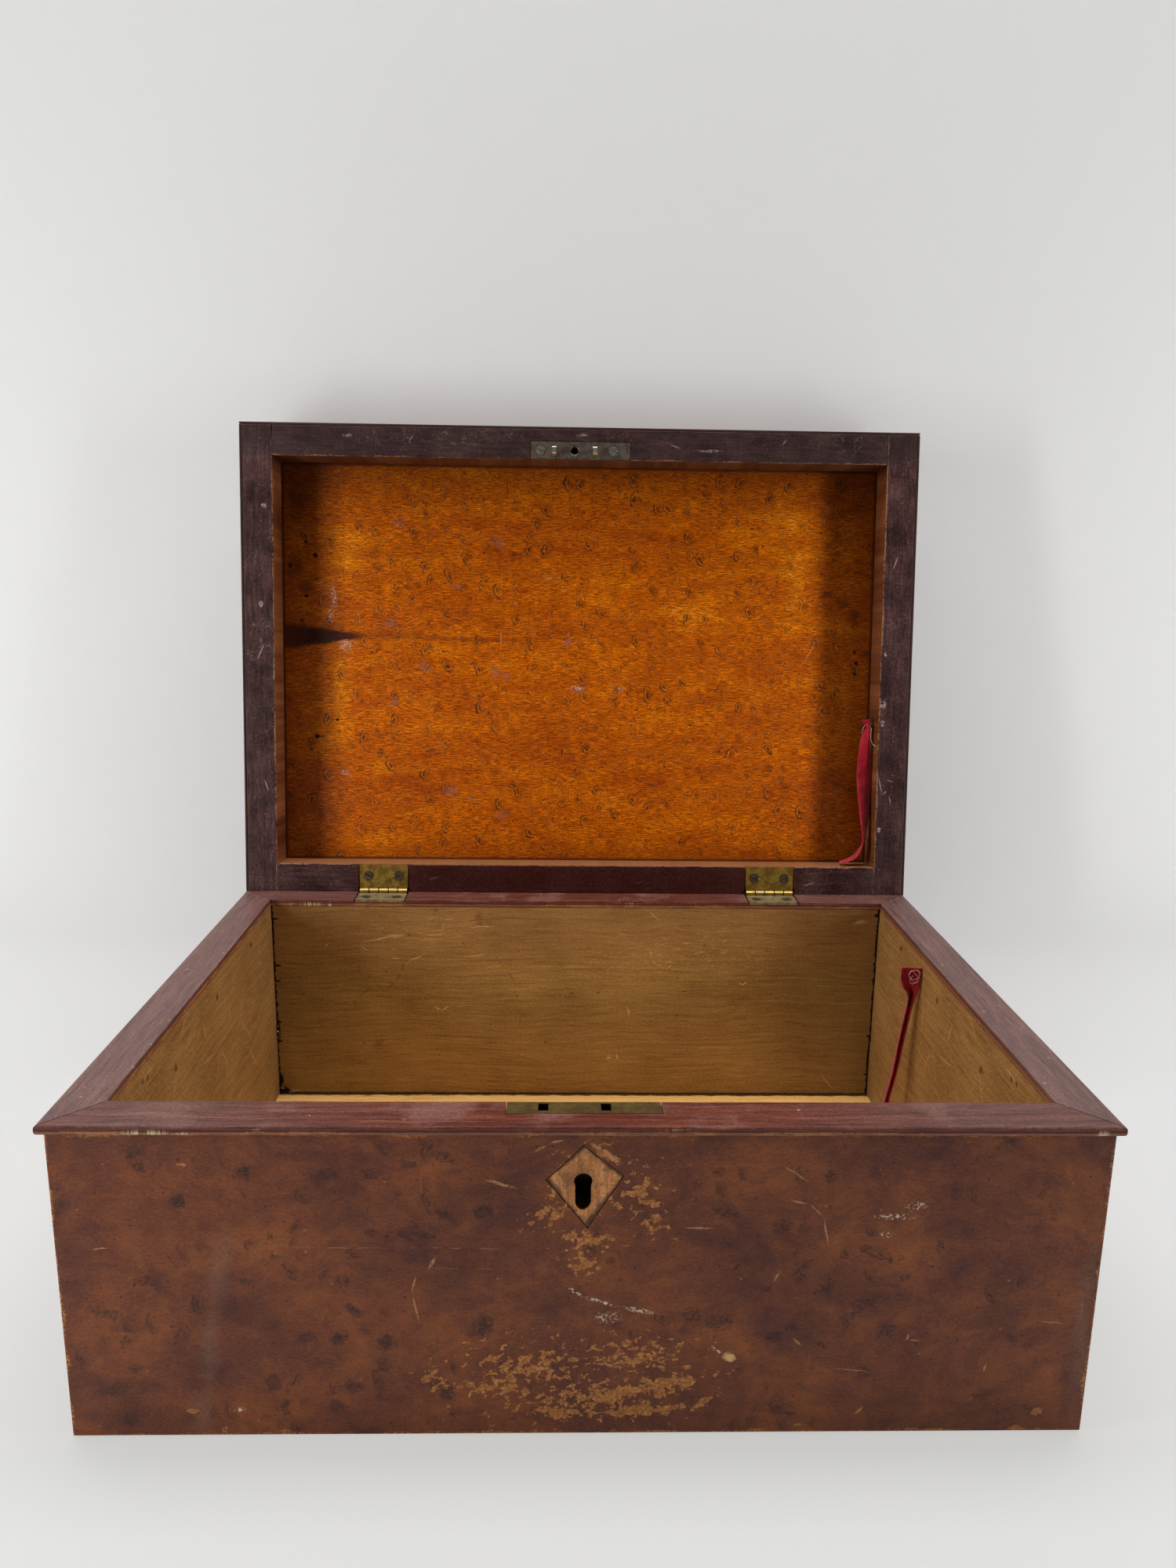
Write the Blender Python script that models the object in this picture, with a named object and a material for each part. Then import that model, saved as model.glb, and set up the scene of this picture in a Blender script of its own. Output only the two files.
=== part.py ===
"""Antique document box with its lid standing open.

A dovetailed carcass under figured veneer, a mitred rim with a rounded nose, a framed lid on two butt
hinges, a box lock let into the front and the two halves of a torn ribbon stay. Metres, +Z up, the front
towards -Y, the origin at the middle of the underside. The lid hangs on an empty at its hinge axis.
"""
import math

import bmesh
import bpy
from mathutils import Vector

# Box and rim
RIM_WIDTH = 0.350
RIM_DEPTH = 0.244
BASE_HEIGHT = 0.117
RIM_BAND = 0.0165
RIM_THICK = 0.0032
RIM_NOSE_ROUND = 0.0010
RIM_OVERHANG = 0.0022
VENEER_THICK = 0.0010
VENEER_LIFT = 0.0006
BOTTOM_THICK = 0.0080
BOTTOM_REBATE = 0.0060
EDGE_ROUND = 0.0003

# Clearances
SEAT_GAP = 0.0003
SCREW_GAP = 0.0002
CUT_PAST = 0.0015

# Dovetails at the corners of the carcass
TAIL_COUNT = 3
PIN_HEIGHT = 0.0100
TOP_PIN_HEIGHT = 0.0072
BOTTOM_PIN_HEIGHT = 0.0145
TAIL_SLOPE = 1 / 7

# Lid
LID_RECESS = 0.0190
LID_TOP_THICK = 0.0070
LID_GAP = 0.0003
LID_OPEN_DEG = 97.25

# Hinges
HINGE_INSET = 0.0020
HINGE_FROM_END = 0.0725
HINGE_LENGTH = 0.0252
LEAF_THICK = 0.0013
LEAF_MARGIN = 0.0003
KNUCKLE_COUNT = 5
KNUCKLE_RADIUS = 0.00195
KNUCKLE_GAP = 0.0003
PIN_RADIUS = 0.0009
PIN_GAP = 0.00025
PIN_OVERRUN = 0.0005
HINGE_SCREW_PITCH = 0.0158
HINGE_SCREW_REACH = 0.0083
HINGE_SCREW_LENGTH = 0.0110

# Screws and tacks
SCREW_HEAD_RADIUS = 0.0025
SCREW_HEAD_DEPTH = 0.0012
SCREW_SHANK_RADIUS = 0.0012
SCREW_SLOT_WIDTH = 0.0007
SCREW_SLOT_DEPTH = 0.0005
TACK_HEAD_RADIUS = 0.0013
TACK_HEAD_THICK = 0.0006
TACK_SHANK_RADIUS = 0.0005
TACK_BITE = 0.0060

# Lock, measured from the rim's top and from the inner face of the front wall
LOCK_X = -0.0007
SELVEDGE_LENGTH = 0.0512
SELVEDGE_WIDTH = 0.0075
SELVEDGE_THICK = 0.0018
LOCK_PLATE_THICK = 0.0010
LOCK_CAP_THICK = 0.0011
LOCK_WALL = 0.0012
LOCK_END_STEP = 0.0020
LOCK_FLANGE = 0.0065
LOCK_SCREW_SPREAD = 0.0300
LOCK_SCREW_LENGTH = 0.0080
STUMP_RADIUS = 0.0012
DRILL_PIN_RADIUS = 0.00125

# Keyhole and escutcheon
KEYHOLE_X = -0.0009
KEY_DROP = 0.0207
KEYHOLE_RADIUS = 0.00305
KEYHOLE_SLOT = 0.0052
KEYHOLE_LENGTH = 0.0103
KEY_SWEEP_GAP = 0.0008
ESCUTCHEON_SHIFT = 0.0006
ESCUTCHEON_ABOVE_KEY = 0.0014
ESCUTCHEON_HALF_WIDTH = 0.0124
ESCUTCHEON_UP = 0.0114
ESCUTCHEON_DOWN = 0.0181
ESCUTCHEON_TILT_DEG = 3.2
ESCUTCHEON_SINK = 0.00015

# Bolt and the lid's link plate
BOLT_THROW = 0.0050
BOLT_THICK = 0.0014
BOLT_BAR = 0.0050
BOLT_CLEAR = 0.0005
BOLT_FINGER = 0.0018
BOLT_UPRIGHT = 0.0030
BOLT_TALON_WIDTH = 0.0050
BOLT_TALON_HEIGHT = 0.0030
BAR_CLEAR = 0.0015
SPRING_THICK = 0.0004
SPRING_SIDE_GAP = 0.0010
STAPLE_SHIFT = -0.0031
STAPLE_PITCH = 0.0208
STAPLE_THICK = 0.0022
STAPLE_WIDTH = 0.0038
STAPLE_DROP = 0.0076
STAPLE_TIP = 0.0013
STAPLE_EYE_WIDTH = 0.0019
STAPLE_EYE_HEIGHT = 0.0026
STAPLE_SIDE_GAP = 0.0006
STAPLE_FACE_GAP = 0.0004
LINK_PLATE_LENGTH = 0.0510
LINK_PLATE_WIDTH = 0.0087
LINK_PLATE_THICK = 0.0016
LINK_SCREW_PITCH = 0.0376
LINK_SCREW_SHIFT = -0.0018
LINK_SCREW_LENGTH = 0.0110
LINK_HOLE_RADIUS = 0.0019

# Ribbon stay
RIBBON_WIDTH = 0.0100
RIBBON_THICK = 0.0005
RIBBON_ACROSS = 7
RIBBON_STEPS = 3
BASE_TACK_BACK = 0.1580
BASE_TACK_DROP = 0.0132
RIBBON_FLOOR_CLEAR = 0.0150

# Values that follow from the sizes above
HALF_W = RIM_WIDTH / 2
HALF_D = RIM_DEPTH / 2
SKIN_IN = RIM_OVERHANG + VENEER_THICK
BOARD_OUT = SKIN_IN + SEAT_GAP
INNER_X = HALF_W - RIM_BAND
INNER_Y = HALF_D - RIM_BAND
OUTER_X = HALF_W - BOARD_OUT
OUTER_Y = HALF_D - BOARD_OUT
BOARD_TOP = BASE_HEIGHT - RIM_THICK - SEAT_GAP
HALF_GAP = LID_GAP / 2
AXIS_Y = HALF_D - HINGE_INSET
AXIS_Z = BASE_HEIGHT + HALF_GAP
STOP_ANGLE = math.radians(LID_OPEN_DEG) / 2
LEAF_REACH = RIM_BAND - HINGE_INSET - LEAF_MARGIN
LID_DEPTH = RIM_DEPTH - HINGE_INSET
LID_SKIN = VENEER_THICK + SEAT_GAP
LID_PANEL = HALF_GAP + LID_RECESS
LID_TOP = LID_PANEL + SEAT_GAP + LID_TOP_THICK
LOCK_FACE = -INNER_Y
LOCK_HEIGHT = KEY_DROP + KEYHOLE_LENGTH + KEY_SWEEP_GAP + LOCK_WALL
CASE_HALF = SELVEDGE_LENGTH / 2 - LOCK_END_STEP
STAPLE_INSET = LOCK_PLATE_THICK + BOLT_CLEAR + STAPLE_WIDTH / 2
STAPLE_XS = [LOCK_X + STAPLE_SHIFT + side * STAPLE_PITCH / 2 for side in (-1, 1)]
STAPLE_REACH = LID_DEPTH - RIM_BAND + STAPLE_INSET
STAPLE_END = STAPLE_DROP - LID_GAP
BAR_TOP = STAPLE_END + BAR_CLEAR
BAR_BOTTOM = BAR_TOP + BOLT_BAR

# Materials: colour, roughness and metallic value
FINISHES = {
    "stained_maple": ((0.155, 0.048, 0.022), 0.42, 0.0),
    "rim_mahogany": ((0.150, 0.058, 0.046), 0.45, 0.0),
    "carcass_wood": ((0.300, 0.165, 0.055), 0.70, 0.0),
    "lid_frame_wood": ((0.045, 0.018, 0.017), 0.45, 0.0),
    "lid_panel_maple": ((0.480, 0.170, 0.018), 0.30, 0.0),
    "escutcheon_wood": ((0.330, 0.165, 0.062), 0.50, 0.0),
    "hinge_brass": ((0.400, 0.300, 0.085), 0.38, 1.0),
    "lock_brass": ((0.220, 0.190, 0.105), 0.45, 1.0),
    "bright_steel": ((0.520, 0.490, 0.440), 0.35, 1.0),
    "dark_steel": ((0.110, 0.100, 0.085), 0.50, 1.0),
    "ribbon_cloth": ((0.360, 0.012, 0.028), 0.75, 0.0),
}


def clear_scene():
    """Removes every object of the scene that the script starts in."""
    for old in list(bpy.data.objects):
        bpy.data.objects.remove(old, do_unlink=True)


def finish_material(name):
    """Returns the named material, made once from its row in FINISHES."""
    if name in bpy.data.materials:
        return bpy.data.materials[name]
    colour, roughness, metallic = FINISHES[name]
    made = bpy.data.materials.new(name)
    made.use_nodes = True
    shader = made.node_tree.nodes["Principled BSDF"]
    shader.inputs["Base Color"].default_value = (*colour, 1.0)
    shader.inputs["Roughness"].default_value = roughness
    shader.inputs["Metallic"].default_value = metallic
    return made


def arc(centre_a, centre_b, radius, start_deg, end_deg, steps):
    """Points along an arc, both ends included."""
    points = []
    for step in range(steps + 1):
        angle = math.radians(start_deg + (end_deg - start_deg) * step / steps)
        points.append((centre_a + radius * math.cos(angle), centre_b + radius * math.sin(angle)))
    return points


def add_loft(bm, near, far):
    """Adds a closed body between two rings of the same number of points."""
    near = [bm.verts.new(point) for point in near]
    far = [bm.verts.new(point) for point in far]
    bm.faces.new(near)
    bm.faces.new(reversed(far))
    for i in range(len(near)):
        j = (i + 1) % len(near)
        bm.faces.new((near[i], far[i], far[j], near[j]))


def add_prism(bm, outline, axis, low, high):
    """Adds a closed prism: a flat outline swept along X, Y or Z."""
    place = {
        "X": lambda a, b, t: (t, a, b),
        "Y": lambda a, b, t: (a, t, b),
        "Z": lambda a, b, t: (a, b, t),
    }[axis]
    add_loft(bm, [place(a, b, low) for a, b in outline], [place(a, b, high) for a, b in outline])


def add_box(bm, low, high):
    """Adds a box between two corners."""
    outline = [(low[0], low[1]), (high[0], low[1]), (high[0], high[1]), (low[0], high[1])]
    add_prism(bm, outline, "Z", low[2], high[2])


def add_turned(bm, profile, start, along, sides=16):
    """Adds a round body: radii at distances from the start point along a direction, ends on the axis."""
    along = Vector(along).normalized()
    across = along.orthogonal().normalized()
    other = along.cross(across)
    rings = []
    for radius, distance in profile:
        centre = Vector(start) + along * distance
        if radius == 0:
            rings.append([bm.verts.new(centre)])
            continue
        ring = []
        for side in range(sides):
            angle = 2 * math.pi * side / sides
            ring.append(bm.verts.new(centre + radius * (across * math.cos(angle) + other * math.sin(angle))))
        rings.append(ring)
    for first, second in zip(rings, rings[1:]):
        for side in range(sides):
            following = (side + 1) % sides
            if len(first) == 1:
                bm.faces.new((first[0], second[side], second[following]))
            elif len(second) == 1:
                bm.faces.new((first[side], second[0], first[following]))
            else:
                bm.faces.new((first[side], second[side], second[following], first[following]))


def make(name, bm, finish=None, parent=None, smooth=False):
    """Turns a bmesh into an object. With no finish it is a cutter or a helper, and stays out of renders."""
    bmesh.ops.recalc_face_normals(bm, faces=bm.faces)
    mesh = bpy.data.meshes.new(name)
    bm.to_mesh(mesh)
    bm.free()
    obj = bpy.data.objects.new(name, mesh)
    bpy.context.scene.collection.objects.link(obj)
    obj.parent = parent
    if smooth:
        mesh.shade_smooth()
        mesh.set_sharp_from_angle(angle=math.radians(35))
    if finish is None:
        obj.hide_render = True
        obj.display_type = "WIRE"
    else:
        mesh.materials.append(finish_material(finish))
    return obj


def make_box(name, low, high, finish=None, parent=None):
    """Makes a box object between two corners. A finished one has its edges eased."""
    bm = bmesh.new()
    add_box(bm, low, high)
    obj = make(name, bm, finish, parent)
    if finish is not None:
        ease = obj.modifiers.new("eased_edges", "BEVEL")
        ease.width = EDGE_ROUND
        ease.segments = 2
        ease.limit_method = "ANGLE"
    return obj


def make_prism(name, outline, axis, low, high, finish=None, parent=None):
    """Makes a prism object."""
    bm = bmesh.new()
    add_prism(bm, outline, axis, low, high)
    return make(name, bm, finish, parent)


def combine(target, helpers, operation):
    """Adds an exact Boolean with each helper to the target."""
    for helper in helpers:
        step = target.modifiers.new(helper.name, "BOOLEAN")
        step.operation = operation
        step.solver = "EXACT"
        step.object = helper


def cut(target, *helpers):
    combine(target, helpers, "DIFFERENCE")


def join(target, *helpers):
    combine(target, helpers, "UNION")


# Screws and tacks


def add_screw_holes(bm, heads, along, length):
    """Adds the cutters of countersunk screws: head and shank with their gap, open above the head."""
    head = SCREW_HEAD_RADIUS + SCREW_GAP
    shank = SCREW_SHANK_RADIUS + SCREW_GAP
    profile = [(0, -CUT_PAST), (head, -CUT_PAST), (head, SCREW_GAP), (shank, SCREW_HEAD_DEPTH + SCREW_GAP)]
    profile += [(shank, length + SCREW_GAP), (0, length + SCREW_GAP)]
    for point in heads:
        add_turned(bm, profile, point, along)


def screw_holes(name, heads, along, length, parent=None):
    bm = bmesh.new()
    add_screw_holes(bm, heads, along, length)
    return make(name, bm, None, parent)


def make_screws(name, heads, along, length, slot_degs, finish, parent=None):
    """Makes countersunk slotted screws, numbered from the left, each turned its own way."""
    shank_end = length - 2 * SCREW_SHANK_RADIUS
    profile = [(0, 0), (SCREW_HEAD_RADIUS, 0), (SCREW_HEAD_RADIUS, SCREW_GAP)]
    profile += [(SCREW_SHANK_RADIUS, SCREW_HEAD_DEPTH), (SCREW_SHANK_RADIUS, shank_end), (0, length)]
    along = Vector(along)
    across = Vector((1, 0, 0))
    other = along.cross(across)
    for number, (point, degrees) in enumerate(zip(heads, slot_degs), 1):
        bm = bmesh.new()
        add_turned(bm, profile, point, along)
        screw = make(f"{name}_{number}", bm, finish, parent)
        angle = math.radians(degrees)
        run = (across * math.cos(angle) + other * math.sin(angle)) * (SCREW_HEAD_RADIUS + CUT_PAST)
        side = along.cross(run).normalized() * SCREW_SLOT_WIDTH / 2
        ring = [run + side, run - side, -run - side, -run + side]
        top = Vector(point) - along * CUT_PAST
        floor = Vector(point) + along * SCREW_SLOT_DEPTH
        bm = bmesh.new()
        add_loft(bm, [top + corner for corner in ring], [floor + corner for corner in ring])
        cut(screw, make(f"{name}_{number}_slot", bm, None, parent))


def make_tack(name, head, along, reach, finish, parent=None):
    """Makes a dome-headed tack whose shank runs to the wall and bites into it. Returns it and its hole."""
    length = TACK_HEAD_THICK + reach + TACK_BITE
    profile = [(0, 0), (0.6 * TACK_HEAD_RADIUS, 0.25 * TACK_HEAD_THICK), (TACK_HEAD_RADIUS, TACK_HEAD_THICK)]
    profile += [(TACK_SHANK_RADIUS, TACK_HEAD_THICK), (TACK_SHANK_RADIUS, length - 2 * TACK_SHANK_RADIUS)]
    profile += [(0, length)]
    bm = bmesh.new()
    add_turned(bm, profile, head, along, 12)
    tack = make(name, bm, finish, parent)
    hole = TACK_SHANK_RADIUS + SCREW_GAP
    bm = bmesh.new()
    hole_profile = [(0, TACK_HEAD_THICK), (hole, TACK_HEAD_THICK), (hole, length + SCREW_GAP)]
    add_turned(bm, hole_profile + [(0, length + SCREW_GAP)], head, along, 12)
    return tack, make(name + "_hole", bm, None, parent)


# Carcass


def tail_rows(grow):
    """The lower and upper root of each dovetail, from the bottom up, widened by a clearance."""
    free = BOARD_TOP - TOP_PIN_HEIGHT - BOTTOM_PIN_HEIGHT - (TAIL_COUNT - 1) * PIN_HEIGHT
    tail = free / TAIL_COUNT
    lows = [BOTTOM_PIN_HEIGHT + row * (tail + PIN_HEIGHT) for row in range(TAIL_COUNT)]
    return [(low - grow, low + tail + grow) for low in lows]


def tail_outline(end, low, high, start, stop):
    """A dovetail at the back (end 1) or the front (end -1), flaring away from the inner face of the wall."""
    points = []
    for root, reach, way in ((low, start, -1), (low, stop, -1), (high, stop, 1), (high, start, 1)):
        points.append((end * reach, root + way * TAIL_SLOPE * (reach - INNER_Y)))
    return points


def make_carcass():
    """Makes the bottom and the four dovetailed walls."""
    rebate = make_box(
        "bottom_rebate",
        (-INNER_X - BOTTOM_REBATE, -INNER_Y - BOTTOM_REBATE, -CUT_PAST),
        (INNER_X + BOTTOM_REBATE, INNER_Y + BOTTOM_REBATE, BOTTOM_THICK + SEAT_GAP),
    )
    bottom_x = INNER_X + BOTTOM_REBATE - SEAT_GAP
    bottom_y = INNER_Y + BOTTOM_REBATE - SEAT_GAP
    bm = bmesh.new()
    add_box(bm, (-bottom_x, -bottom_y, 0), (bottom_x, bottom_y, BOTTOM_THICK))
    boards = {"bottom": make("base_bottom_board", bm, "carcass_wood")}

    shoulder = INNER_Y - SEAT_GAP
    outline = [(-shoulder, 0), (shoulder, 0)]
    for low, high in tail_rows(0):
        outline += tail_outline(1, low, high, shoulder, OUTER_Y)
    outline += [(shoulder, BOARD_TOP), (-shoulder, BOARD_TOP)]
    for low, high in reversed(tail_rows(0)):
        outline += reversed(tail_outline(-1, low, high, shoulder, OUTER_Y))
    for name, low, high in (("left", -OUTER_X, -INNER_X), ("right", INNER_X, OUTER_X)):
        boards[name] = make_prism(f"base_{name}_board", outline, "X", low, high, "carcass_wood")
        cut(boards[name], rebate)

    for name, end in (("front", -1), ("back", 1)):
        low_y, high_y = sorted((end * INNER_Y, end * OUTER_Y))
        bm = bmesh.new()
        add_box(bm, (-OUTER_X, low_y, 0), (OUTER_X, high_y, BOARD_TOP))
        boards[name] = make(f"base_{name}_board", bm, "carcass_wood")
        sockets = bmesh.new()
        for low, high in tail_rows(SEAT_GAP):
            socket = tail_outline(end, low, high, INNER_Y - CUT_PAST, OUTER_Y + CUT_PAST)
            add_prism(sockets, socket, "X", INNER_X - SEAT_GAP, OUTER_X + CUT_PAST)
            add_prism(sockets, socket, "X", -OUTER_X - CUT_PAST, -INNER_X + SEAT_GAP)
        cut(boards[name], make(f"{name}_sockets", sockets), rebate)
    return boards


def make_base_veneers():
    """Makes the veneers of the four walls. The front and back ones cover the edges of the side ones."""
    skins = {}
    skin_x = HALF_W - RIM_OVERHANG
    skin_y = HALF_D - RIM_OVERHANG
    side_y = HALF_D - BOARD_OUT
    for name, end in (("front", -1), ("back", 1)):
        low_y, high_y = sorted((end * skin_y, end * (HALF_D - SKIN_IN)))
        low = (-skin_x, low_y, VENEER_LIFT)
        skins[name] = make_box(f"{name}_veneer", low, (skin_x, high_y, BOARD_TOP), "stained_maple")
    for name, end in (("left", -1), ("right", 1)):
        low_x, high_x = sorted((end * skin_x, end * (HALF_W - SKIN_IN)))
        low = (low_x, -side_y, VENEER_LIFT)
        skins[name] = make_box(f"{name}_veneer", low, (high_x, side_y, BOARD_TOP), "stained_maple")
    return skins


def stop_height(behind_axis):
    """Height of the bevelled stop above the rim's top, at a distance behind the hinge axis."""
    return HALF_GAP - (HALF_GAP + behind_axis * math.sin(STOP_ANGLE)) / math.cos(STOP_ANGLE)


def stop_wedge(name, way, parent=None):
    """The wedge that bevels the back edge: under the lid (way 1), or on the rim (way -1)."""
    reach = HINGE_INSET + CUT_PAST
    front = -CUT_PAST * math.cos(STOP_ANGLE) / math.sin(STOP_ANGLE)
    points = []
    for behind, height in ((front, stop_height(front)), (reach, stop_height(reach)), (reach, CUT_PAST)):
        points.append((behind, -way * (height - HALF_GAP)))
    if parent is None:
        points = [(AXIS_Y + a, AXIS_Z + b) for a, b in points]
    return make_prism(name, points, "X", -HALF_W - CUT_PAST, HALF_W + CUT_PAST, None, parent)


def make_rim():
    """Makes the four mitred rim strips, with a rounded nose and a bevelled stop along the back."""
    under = BASE_HEIGHT - RIM_THICK
    nose = RIM_NOSE_ROUND
    lower = arc(nose, under + nose, nose, 270, 180, 3)
    upper = arc(nose, BASE_HEIGHT - nose, nose, 180, 90, 3)
    inner = [(RIM_BAND, BASE_HEIGHT), (RIM_BAND, under)]
    bevel = [(0, BASE_HEIGHT + stop_height(HINGE_INSET))]
    bevel += [(HINGE_INSET - HALF_GAP * (math.cos(STOP_ANGLE) - 1) / math.sin(STOP_ANGLE), BASE_HEIGHT)]
    mitre_gap = 0.75 * SEAT_GAP
    strips = {}
    for name, end, profile in (
        ("front", -1, lower + upper + inner),
        ("back", 1, arc(nose / 2, under + nose / 2, nose / 2, 270, 180, 3) + bevel + inner),
    ):
        bm = bmesh.new()
        ends = []
        for way in (-1, 1):
            ends.append([(way * (HALF_W - s - mitre_gap), end * (HALF_D - s), z) for s, z in profile])
        add_loft(bm, *ends)
        strips[name] = make(f"rim_{name}", bm, "rim_mahogany")
    wedge = stop_wedge("rim_stop_wedge", -1)
    for name, end in (("left", -1), ("right", 1)):
        bm = bmesh.new()
        ends = []
        for way in (-1, 1):
            profile = lower + upper + inner
            ends.append([(end * (HALF_W - s), way * (HALF_D - s - mitre_gap), z) for s, z in profile])
        add_loft(bm, *ends)
        strips[name] = make(f"rim_{name}", bm, "rim_mahogany")
        cut(strips[name], wedge)
    return strips


# Lid, in the frame of its hinge axis: closed, with -Y towards the front and +Z up


def make_lid(hinge):
    """Makes the lid's frame, its top board and its veneers."""
    front = -(LID_DEPTH - LID_SKIN)
    back = HINGE_INSET - LID_SKIN
    front_in = -(LID_DEPTH - RIM_BAND)
    back_in = -(RIM_BAND - HINGE_INSET)
    outer_x = HALF_W - LID_SKIN
    wedge = stop_wedge("lid_stop_wedge", 1, hinge)
    lid = {}

    def board(name, low, high, finish):
        lid[name] = make_box(f"lid_{name}", low, high, finish, hinge)

    rail_x = INNER_X - SEAT_GAP
    frame = "lid_frame_wood"
    board("left_stile", (-outer_x, front, HALF_GAP), (-INNER_X, back, LID_PANEL), frame)
    board("right_stile", (INNER_X, front, HALF_GAP), (outer_x, back, LID_PANEL), frame)
    board("front_rail", (-rail_x, front, HALF_GAP), (rail_x, front_in, LID_PANEL), frame)
    board("back_rail", (-rail_x, back_in, HALF_GAP), (rail_x, back, LID_PANEL), frame)
    board("top_board", (-outer_x, front, LID_PANEL + SEAT_GAP), (outer_x, back, LID_TOP), "lid_panel_maple")

    skin = "stained_maple"
    top = LID_TOP + SEAT_GAP
    side_front = -(LID_DEPTH - LID_SKIN)
    board("top_veneer", (-HALF_W, -LID_DEPTH, top), (HALF_W, HINGE_INSET, top + VENEER_THICK), skin)
    board("front_veneer", (-HALF_W, -LID_DEPTH, HALF_GAP), (HALF_W, front - SEAT_GAP, LID_TOP), skin)
    board("back_veneer", (-HALF_W, back + SEAT_GAP, HALF_GAP), (HALF_W, HINGE_INSET, LID_TOP), skin)
    for name, end in (("left", -1), ("right", 1)):
        low_x, high_x = sorted((end * HALF_W, end * (HALF_W - VENEER_THICK)))
        board(f"{name}_veneer", (low_x, side_front, HALF_GAP), (high_x, back, LID_TOP), skin)
    for name in ("left_stile", "right_stile", "back_rail", "back_veneer", "left_veneer", "right_veneer"):
        cut(lid[name], wedge)
    return lid


# Hinges, each in the frame of its own axis


def hinge_pocket(way, behind):
    """The outline of a hinge's seat in the lid (way 1) or the rim (way -1): the leaf, then the barrel."""
    leaf = HALF_GAP + LEAF_THICK + SEAT_GAP
    barrel = KNUCKLE_RADIUS + SEAT_GAP
    reach = -LEAF_REACH - SEAT_GAP
    points = [(reach, -CUT_PAST), (reach, leaf), (-barrel, leaf), (-barrel, barrel), (behind, barrel)]
    return [(a, way * b) for a, b in points + [(behind, -CUT_PAST)]]


def make_leaf(name, way, knuckles, location, holes, parent):
    """Makes a hinge leaf: a plate, and its share of the knuckles rolled round the pin."""
    half = HINGE_LENGTH / 2
    near, far = sorted((way * HALF_GAP, way * (HALF_GAP + LEAF_THICK)))
    plate_end = -(KNUCKLE_RADIUS + SEAT_GAP)
    bm = bmesh.new()
    add_box(bm, (-half, -LEAF_REACH, near), (half, plate_end, far))
    leaf = make(name, bm, "hinge_brass", parent)
    leaf.location = location

    bore = PIN_RADIUS + PIN_GAP
    tab_inset = HALF_GAP + SEAT_GAP / 3
    tab_low, tab_high = sorted((way * tab_inset, way * (tab_inset + LEAF_THICK - 2 * SEAT_GAP / 3)))
    ring = arc(0, 0, KNUCKLE_RADIUS, 200, 545, 18) + arc(0, 0, bore, 545, 200, 18)
    ring = [(a, way * b) for a, b in ring]
    step = HINGE_LENGTH / KNUCKLE_COUNT
    tabs = bmesh.new()
    rings = bmesh.new()
    for index in knuckles:
        low = -half + index * step + KNUCKLE_GAP / 2
        high = low + step - KNUCKLE_GAP
        add_box(tabs, (low, plate_end - SEAT_GAP, tab_low), (high, -(bore + PIN_GAP / 2), tab_high))
        add_prism(rings, ring, "X", low, high)
    for part_name, part in (("tabs", tabs), ("rings", rings)):
        helper = make(f"{name}_{part_name}", part, None, parent)
        helper.location = location
        join(leaf, helper)
    cut(leaf, holes)
    return leaf


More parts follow.
